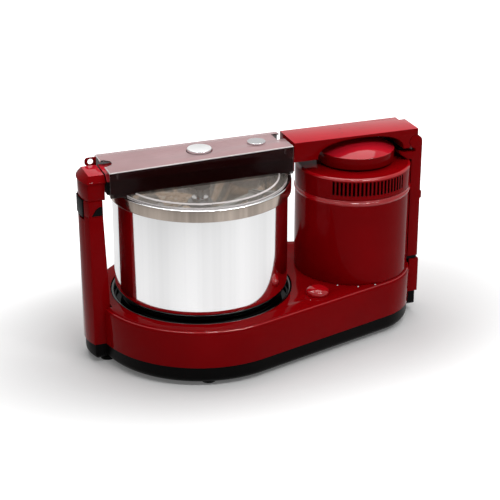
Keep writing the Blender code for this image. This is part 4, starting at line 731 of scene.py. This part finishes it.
beam_cut = 0.0098                           # room round the ears, in the beam's end
low_corner = asin((PZ - BEAM_LOW) / beam_cut) * 180 / pi
end_corner = acos(0.0024 / beam_cut) * 180 / pi
beam_outline = [(ARM_END, ARM_LOW), (STEP_X, ARM_LOW), (STEP_X, BEAM_LOW)]
beam_outline += arc((PX, PZ), beam_cut, 180 + low_corner, end_corner, 24)
beam_outline += [(D + 0.2943, BEAM_TOP), (STEP_X, BEAM_TOP), (STEP_X, ARM_TOP), (ARM_END, ARM_TOP)]
arm = slab("arm_shell", beam_outline, -POST_HALF, POST_HALF, along="Y", edge=0)


def arch_outline(half, rise):
    """The front arch over the tower's cap, a squarish curve."""
    spots = [(T + half * (abs(cos(t)) ** ARCH_POWER) * (1 if cos(t) > 0 else -1),
              BEAM_LOW + rise * (max(sin(t), 0) ** ARCH_POWER))
             for t in [pi * i / 60 for i in range(61)]]
    return [(spots[0][0], CHANNEL_LOW)] + spots[1:-1] + [(spots[-1][0], CHANNEL_LOW)]


def rear_arch_outline(half, low):
    """The rear arch, which follows the dome where the channel's side meets it."""
    spots = [(CAP_X + x, low + dome_rise(sqrt(x * x + CHANNEL_HALF ** 2) / DOME_RADIUS))
             for x in [half * (i - 20) / 20 for i in range(41)]]
    return [(spots[0][0], CHANNEL_LOW)] + spots + [(spots[-1][0], CHANNEL_LOW)]


def hip(side):
    """The wedge cut off one upper edge of the arm."""
    form = bmesh.new()
    bmesh.ops.create_cube(form, size=1)
    for vertex in form.verts:
        x = D - 0.1325 if vertex.co.x < 0 else D + 0.1192
        if vertex.co.y > 0:
            y, foot = side * HIP_OUT, ARM_TOP - HIP_FALL - 0.0040 * (HIP_FALL / HIP_RUN)
        else:
            y, foot = side * HIP_IN, ARM_TOP
        vertex.co = (x, y, 0.2594 if vertex.co.z > 0 else foot)
    outward(form)
    return made("hip", form)


tools = [wide_block("channel", D - 0.1260, D + 0.1170, CHANNEL_HALF, 0.2265, 0.2453, 0),
         wide_block("beam_channel", D + 0.1220, D + 0.2690, CHANNEL_HALF, CHANNEL_LOW, 0.2658, 0),
         slab("arch", arch_outline(0.0610, 0.0228), -0.0310, 0.0200, along="Y", edge=0),
         slab("rear_arch", rear_arch_outline(0.0462, 0.2453), 0.0100, 0.0310, along="Y", edge=0),
         block("beam_notch", (D + 0.2855, 0.0150, BEAM_LOW), (D + 0.2990, 0.0310, 0.2730), 0)]
carve(arm, *tools, hip(-1), hip(1))
carve(arm, crosswise("knuckle_bore", PIN_BORE, PX, PZ, POST_HALF, 32, 0),
      upright("plunger_hole", 0.0055, D, 0, 0.2265, 0.2594, 32, 0), edge=0.0007, angle=38)
knuckle = crosswise("knuckle", EAR_RADIUS, PX, PZ, 0.0155, 64, 0.0006)
web = wide_block("web", D + 0.2740, PX, 0.0155, 0.2435, 0.2610, 0)
carve(knuckle, web, mode="UNION")
carve(knuckle, crosswise("knuckle_bore", PIN_BORE, PX, PZ, POST_HALF, 32, 0))
# Two black dots that stand for two small holes in the beam's top: painted shade.
dots = [upright("dot", 0.0009, D + x, y, 0.2670, DOT_TOP, 16, 0)
        for x, y in ((0.1972, 0.0082), (0.1925, -0.0093))]
give(merged(arm, knuckle, *dots), RED, "arm", "red_plastic", "arm_beam")
# The arm's lower left end, cut off at a plane, takes the satin black, painted shade, and so do the
# dots; faces that face up take the lighter top red, painted light.
form = bmesh.new()
form.from_mesh(arm.data)
bmesh.ops.bisect_plane(form, geom=form.verts[:] + form.edges[:] + form.faces[:],
                       plane_co=(D - 0.1235, 0, 0), plane_no=(1, 0, 0))
form.to_mesh(arm.data)
form.free()
accent(arm, SATIN, lambda p, n: p.x < D - 0.1170 and p.z < 0.2475 or p.z > DOT_EDGE)
accent(arm, RED_LIT_TOP, lambda p, n: n.z > 0.5 and 0.2500 < p.z < DOT_EDGE)

end_block = slab("end_base", post_outline(0.1300, 0.0013, ARM_REACH), 0.2240, 0.2465, edge=0.0005)
form = bmesh.new()
for x, y in post_outline(0.1300, 0, ARM_REACH):
    form.verts.new((x, y, 0.2464))
    form.verts.new((x, y, 0.2478))
for x in (D - 0.1300, D - 0.1498):
    for side in (-1, 1):
        form.verts.new((x, side * HIP_IN, ARM_TOP))
bmesh.ops.convex_hull(form, input=form.verts)
join_flat(form)
outward(form)
ease_edges(form, 0.0006, angle=20)
give(merged(end_block, made("end_hips", form)), RED, "arm", "red_plastic", "arm_end_block")
# The block's top takes the lighter top red: painted light.
accent(end_block, RED_LIT_TOP, lambda p, n: n.z > 0.95)

LEVER_REACH, LEVER_HALF = 0.1605, 0.0152
plate = bow(LEVER_REACH, LEVER_HALF) + bow(LEVER_REACH, LEVER_HALF, 0.0020)[::-1]
lever = slab("latch_plate", plate, 0.2015, 0.2232, edge=0.0006)
lever = merged(lever, wide_block("latch_web", D - 0.1595, LX, 0.0051, 0.2064, 0.2086, 0.0003),
               crosswise("latch_barrel", 0.0022, LX, LZ, LEVER_HALF, 24),
               crosswise("latch_stubs", 0.0012, LX, LZ, 0.0197, 16, 0.0002))
give(lever, SATIN, "latch", "black_plastic", "latch_lever")

barrel = turned("barrel", [(0.0135, 0.2450), (0.0135, 0.2160), (0.0055, 0.2160), (0.0055, 0.2185),
                           (0.0100, 0.2185), (0.0100, 0.2450)], 0.0004, steps=48)
give(barrel, CAST, "arm", "cast_metal", "plunger_barrel")
plunger = turned("plunger_rod",
                 [(0, BEAM_TOP), (0.0158, BEAM_TOP, 0.0011), (0.0158, 0.2623, 0.0008), (0.0050, 0.2623),
                  (0.0050, 0.2215), (0.0088, 0.2215), (0.0088, 0.2195), (0.0050, 0.2195),
                  (0.0050, 0.2020), (0.0110, 0.2020), (0.0110, 0.1975), (0, 0.1975)],
                 0.0004, steps=64, closed=False)
give(plunger, BRIGHT, "plunger", "polished_steel", "pressure_plunger")
accent(plunger, CAP, lambda p, n: n.z > 0.9 and p.z > 0.2675)

# The spring, a wire swept along a helix.
TURNS, TURN_STEPS, WIRE_STEPS = 6, 24, 8
COIL_RADIUS, WIRE_RADIUS = 0.0070, 0.0012
COIL_LOW, COIL_TOP = 0.2231, 0.2434
form = bmesh.new()
loops = []
for i in range(TURNS * TURN_STEPS + 1):
    swing = 2 * pi * i / TURN_STEPS
    spot = Vector((D + COIL_RADIUS * cos(swing), COIL_RADIUS * sin(swing),
                   COIL_LOW + (COIL_TOP - COIL_LOW) * i / (TURNS * TURN_STEPS)))
    away = Vector((cos(swing), sin(swing), 0))
    around = [2 * pi * k / WIRE_STEPS for k in range(WIRE_STEPS)]
    loops.append([form.verts.new(spot + WIRE_RADIUS * (away * cos(t) + Vector((0, 0, sin(t)))))
                  for t in around])
for a, b in zip(loops, loops[1:]):
    for k in range(WIRE_STEPS):
        after = (k + 1) % WIRE_STEPS
        form.faces.new((a[k], a[after], b[after], b[k]))
form.faces.new(loops[0])
form.faces.new(loops[-1])
outward(form)
coil = give(made("coil_spring", form, 60), DULL, "arm", "steel", "plunger_spring")
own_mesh(coil)

# ---------------------------------------------------------------- lid

TUNNEL_X, TUNNEL_LENGTH = D - 0.1275, 0.2440        # from its latch end, along the arm
NEAR_HALF, FAR_HALF = 0.0370, 0.0309
NEAR_TOP, FAR_TOP = 0.2627, 0.2668
PANE_TOP, RIM_RADIUS, RIM_TOP, RIM_LOW = 0.2329, 0.1122, 0.2313, 0.2293


def tunnel_size(run):
    """The tunnel's half width and top, at a distance from its latch end."""
    return (NEAR_HALF + (FAR_HALF - NEAR_HALF) / TUNNEL_LENGTH * run,
            NEAR_TOP + (FAR_TOP - NEAR_TOP) / TUNNEL_LENGTH * run)


def tunnel(name, inset, drop, low, extra, edge=0.0):
    """The tunnel's outer shape, or its hollow with an inset, a drop and some extra length."""
    form = bmesh.new()
    bmesh.ops.create_cube(form, size=1)
    for vertex in form.verts:
        run = -extra if vertex.co.x < 0 else TUNNEL_LENGTH + extra
        half, top = tunnel_size(run)
        vertex.co = (TUNNEL_X + run, half - inset if vertex.co.y > 0 else inset - half,
                     top - drop if vertex.co.z > 0 else low)
    outward(form)
    if edge:
        ease_edges(form, edge, segments=3, chosen=lambda p: p.z > 0.25)
    return made(name, form)


lid = turned("clear_lid", [(0, PANE_TOP), (0.1010, PANE_TOP), (0.1026, RIM_TOP), (RIM_RADIUS, RIM_TOP),
                           (RIM_RADIUS, RIM_LOW), (0.1085, RIM_LOW), (0.1085, 0.2253),
                           (0.1065, 0.2253), (0.1065, RIM_LOW), (0.1010, RIM_LOW), (0.0994, 0.2309),
                           (0, 0.2309)], 0, steps=144, closed=False)
carve(lid, tunnel("tunnel_outer", 0, 0, RIM_LOW, 0, 0.0012), mode="UNION")
ribs = []
for run in (0.0100, 0.2325):
    for side in (-1, 1):
        half, top = tunnel_size(run)
        y_low, y_high = sorted((side * (half - 0.0010), side * (half + 0.0010)))
        ribs.append(block("rib", (TUNNEL_X + run - 0.00075, y_low, top - 0.0080),
                          (TUNNEL_X + run + 0.00075, y_high, top - 0.0005), 0))
carve(lid, *ribs, mode="UNION")
carve(lid, tunnel("tunnel_inner", 0.0020, 0.0020, 0.2213, 0.0040),
      upright("finger_notch", 0.0125, TUNNEL_X, 0, 0.2587, 0.2667, 48, 0),
      block("corner_notch", (D + 0.1055, 0, 0.2628), (D + 0.1205, 0.0220, 0.2708), 0),
      upright("cap_hole", 0.0168, D, 0, 0.2587, 0.2708, 64, 0), edge=0.0003, angle=45)
give(lid, LID, "lid_set", "smoked_plastic", "lid")
for look in (LID_WALL_SHADE, LID_ROOF_SHEEN, LID_EDGE_HIGHLIGHT, LID_STEP_HIGHLIGHT):
    lid.data.materials.append(look)
WALL_SHADE_LOOK, ROOF_SHEEN_LOOK, EDGE_HIGHLIGHT_LOOK, STEP_HIGHLIGHT_LOOK = range(1, 5)
# The tunnel's walls take a dark, dense copy, painted shade of the arm inside; its roof a pinkish, dense
# one, painted sheen over the red arm; bevels, small faces, the tunnel's end and the rim's steps pale,
# dense ones, painted highlight.
for face in lid.data.polygons:
    way, spot = face.normal, face.center
    reach = (spot.xy - Vector((D, 0))).length
    if spot.z > 0.2335:
        edge = 0.2 < abs(way.z) < 0.97 or face.area < 3e-6 or abs(way.x) > 0.9 and spot.x > D + 0.11
        face.material_index = EDGE_HIGHLIGHT_LOOK if edge else ROOF_SHEEN_LOOK if abs(way.z) > 0.5 else WALL_SHADE_LOOK
    elif spot.z > 0.2290 and reach > 0.1005:
        face.material_index = STEP_HIGHLIGHT_LOOK if abs(way.z) > 0.9 else EDGE_HIGHLIGHT_LOOK

BUTTON_X, BUTTON_RADIUS = D + 0.0770, 0.0119
button_low = tunnel_size(BUTTON_X - TUNNEL_X + BUTTON_RADIUS)[1] + 0.0003
button_top = button_low + 0.0018
disc = turned("lid_button", [(0, button_top), (BUTTON_RADIUS, button_top, 0.0006),
                             (BUTTON_RADIUS, button_low), (0, button_low)],
              0.0003, (BUTTON_X, 0), 64, closed=False)
give(disc, BRIGHT, "lid_set", "steel", "lid_disc")
loop_x, loop_long = D - 0.1278, 0.0150
loop_low, loop_high = 0.2515, 0.2625
loop = slab("finger_loop", eased([(loop_x - loop_long, loop_low, 0.0050), (loop_x, loop_low, 0),
                                  (loop_x, loop_high, 0), (loop_x - loop_long, loop_high, 0.0050)],
                                 0.0050, steps=6), 0.0275, 0.0295, along="Y", edge=0)
carve(loop, rod("loop_hole", 0.0036, (loop_x - loop_long / 2, 0.0235, 0.2570),
                (loop_x - loop_long / 2, 0.0335, 0.2570), 32, 0), edge=0.0005)
give(loop, RED, "lid_set", "red_plastic", "lid_finger_loop")

# ---------------------------------------------------------------- knob, pips, inner parts

KNOB_RADIUS, KNOB_SHAFT = 0.0150, 0.0035
knob_top = [(KNOB_RADIUS * sin(radians(a)), 0.0806 + 0.0078 * cos(radians(a)))
            for a in range(8, 91, 8)]
knob = turned("dial_knob", [(0, 0.0884)] + knob_top
              + [(KNOB_RADIUS, STAND, 0.0005), (KNOB_SHAFT, STAND), (KNOB_SHAFT, CHAMBER_TOP),
                 (0, CHAMBER_TOP)], 0.0003, (KX, KY), 64, closed=False)
pointer = block("pointer", (KX - 0.0006, KY + 0.0080, 0.0825), (KX + 0.0006, KY + 0.0144, 0.0848),
                0.0003)
# The whole knob takes the lighter red: painted highlight.
give(merged(knob, pointer), RED_HIGHLIGHT, "knob", "red_plastic", "control_knob")
# Three small bright steel domes at the tower's foot, where three highlights show: painted highlight.
for number, (x, y) in enumerate(((0.1675, -0.0640), (0.1913, -0.0775), (0.2148, -0.0793)), 1):
    pip = turned("foot_pip_%d" % number, [(0, 0.0790), (0.0008, 0.0788), (0.0013, 0.0778)],
                 0.0, (D + x, y), 20, closed=False)
    give(pip, BRIGHT, "housing", "steel")

# The inner parts keep their CAD shapes and only get looks.
KEPT = {
    "chassis_plate": DULL, "bearing_housing": CAST, "lower_spindle_bearing": DULL,
    "upper_spindle_bearing": DULL, "drive_belt": BELT, "drive_spindle": BRIGHT, "drive_pulley": CAST,
    "motor_pulley": CAST, "motor_stator": CORE, "motor_windings": WIRE, "motor_rotor": CORE,
    "motor_lower_shield": CAST, "motor_upper_shield": CAST, "lower_motor_bearing": DULL,
    "upper_motor_bearing": DULL, "motor_fan": SATIN, "rotary_switch": SATIN, "cord_gland": SATIN,
}
for name, look in KEPT.items():
    for material_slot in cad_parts[name].material_slots:
        material_slot.material = look

# ---------------------------------------------------------------- stage, light, camera

FLOOR_HALF = 6
# The floor glows less for camera rays near the machine, which leaves a dark patch there: painted
# shadow; far off it glows to white.
NARROW = (0.6, 1, 1)                        # the dark patch under the machine is long in x
GLOW_NEAR, GLOW_FAR = (0.14, 0.10), (0.42, 1.0)     # distance from the middle, strength of the glow
FLOOR_SHINE, WORLD_SHINE, WORLD_LEVEL = 0.22, 0.6, 0.12


def worked(tree, operation, *sources):
    """The output of a math node on links and plain values."""
    node = tree.nodes.new("ShaderNodeMath")
    node.operation = operation
    for socket, source in zip(node.inputs, sources):
        if isinstance(source, float):
            socket.default_value = source
        else:
            tree.links.new(source, socket)
    return node.outputs[0]


def seen(tree, *kinds):
    """1 for the given kinds of ray, 0 for all others."""
    path = tree.nodes.new("ShaderNodeLightPath")
    total = path.outputs[kinds[0]]
    for kind in kinds[1:]:
        total = worked(tree, "MAXIMUM", total, path.outputs[kind])
    return total


floor = bpy.data.meshes.new("floor")
floor.from_pydata([(x * FLOOR_HALF, y * FLOOR_HALF, 0)
                   for x, y in ((-1, -1), (1, -1), (1, 1), (-1, 1))], [], [(0, 1, 2, 3)])
floor = bpy.data.objects.new("floor", floor)
scene.collection.objects.link(floor)
material, tree, shader = start("pale_floor")
preset(shader, Base_Color=(0.84, 0.84, 0.84, 1), Roughness=0.9, Specular_IOR_Level=0.0,
       Emission_Color=(1, 1, 1, 1))
coords = tree.nodes.new("ShaderNodeTexCoord")
narrow = tree.nodes.new("ShaderNodeMapping")
preset(narrow, Scale=NARROW)
spread = tree.nodes.new("ShaderNodeVectorMath")
spread.operation = "DISTANCE"
spread.inputs[1].default_value = (0, 0, 0)
# Glow rising with distance from the machine: painted shadow near it, white floor far off.
glow_and_painted_shadow = tree.nodes.new("ShaderNodeMapRange")
glow_and_painted_shadow.interpolation_type = "SMOOTHSTEP"
preset(glow_and_painted_shadow, From_Min=GLOW_NEAR[0], From_Max=GLOW_FAR[0], To_Min=GLOW_NEAR[1], To_Max=GLOW_FAR[1])
tree.links.new(coords.outputs["Object"], narrow.inputs["Vector"])
tree.links.new(narrow.outputs["Vector"], spread.inputs[0])
tree.links.new(spread.outputs["Value"], glow_and_painted_shadow.inputs["Value"])
level = worked(tree, "MULTIPLY", seen(tree, "Is Camera Ray"), glow_and_painted_shadow.outputs["Result"])
glow = worked(tree, "MULTIPLY_ADD", seen(tree, "Is Glossy Ray"), FLOOR_SHINE, level)
tree.links.new(glow, shader.inputs["Emission Strength"])
floor.data.materials.append(material)

world = bpy.data.worlds.new("studio")
scene.world = world
world.use_nodes = True
tree = world.node_tree
ground = tree.nodes["Background"]
preset(ground, Color=(1, 1, 1, 1), Strength=WORLD_LEVEL)
clear = tree.nodes.new("ShaderNodeBackground")
preset(clear, Color=(1, 1, 1, 1), Strength=1.0)
mix = tree.nodes.new("ShaderNodeMixShader")
shine = worked(tree, "MULTIPLY", seen(tree, "Is Glossy Ray"), WORLD_SHINE)
share = worked(tree, "MAXIMUM", seen(tree, "Is Camera Ray", "Is Transmission Ray"), shine)
tree.links.new(share, mix.inputs["Fac"])
tree.links.new(ground.outputs[0], mix.inputs[1])
tree.links.new(clear.outputs[0], mix.inputs[2])
tree.links.new(mix.outputs[0], tree.nodes["World Output"].inputs["Surface"])


def lamp(name, place, aim, size, power, tall):
    """A rectangular lamp turned towards a point."""
    data = bpy.data.lights.new(name, "AREA")
    data.energy = power
    data.shape = "RECTANGLE"
    data.size = size
    data.size_y = tall
    obj = bpy.data.objects.new(name, data)
    scene.collection.objects.link(obj)
    obj.location = place
    obj.rotation_euler = (Vector(aim) - Vector(place)).to_track_quat("-Z", "Y").to_euler()


# Strips stand side by side before the machine, square to the camera: place across, width, power.
COS_VIEW, SIN_VIEW = 0.940, 0.342           # of the camera's turn about the upright
STRIP_AWAY, STRIP_HEIGHT, STRIP_TALL = 0.8, 1.6, 0.08
STRIPS = ((-0.87, 0.25, 0.3), (-0.38, 0.50, 1.6), (0.28, 0.32, 2.8), (0.73, 0.43, 4.0),
          (1.30, 0.50, 5.2))
for number, (across, wide, power) in enumerate(STRIPS, 1):
    place = (D + across * COS_VIEW - STRIP_AWAY * SIN_VIEW, -across * SIN_VIEW - STRIP_AWAY * COS_VIEW,
             STRIP_HEIGHT)
    lamp("strip_%d" % number, place, (0, 0, 0.15), wide, power, STRIP_TALL)
lamp("top", (0.15, 0.45, 1.95), (0, 0, 0.2), 1.8, 22, 1.3)

# The camera, as fitted to the photo.
FOCAL, PICTURE, SENSOR = 1496.1, 500, 36    # focal length and width in pixels, sensor in millimetres
camera = bpy.data.cameras.new("camera")
camera.lens = FOCAL / PICTURE * SENSOR
camera.sensor_width = SENSOR
camera.clip_start = 0.05
camera = bpy.data.objects.new("camera", camera)
scene.collection.objects.link(camera)
back = Vector((-0.31369, -0.86161, 0.39904)).normalized()
side = Vector((0.93966, -0.34210, 0)).normalized()
camera.matrix_world = Matrix.Translation((D - 0.552, -1.704, 0.906)) @ Matrix(
    (side, back.cross(side), back)).transposed().to_4x4()
scene.camera = camera
scene.view_settings.view_transform = "Standard"
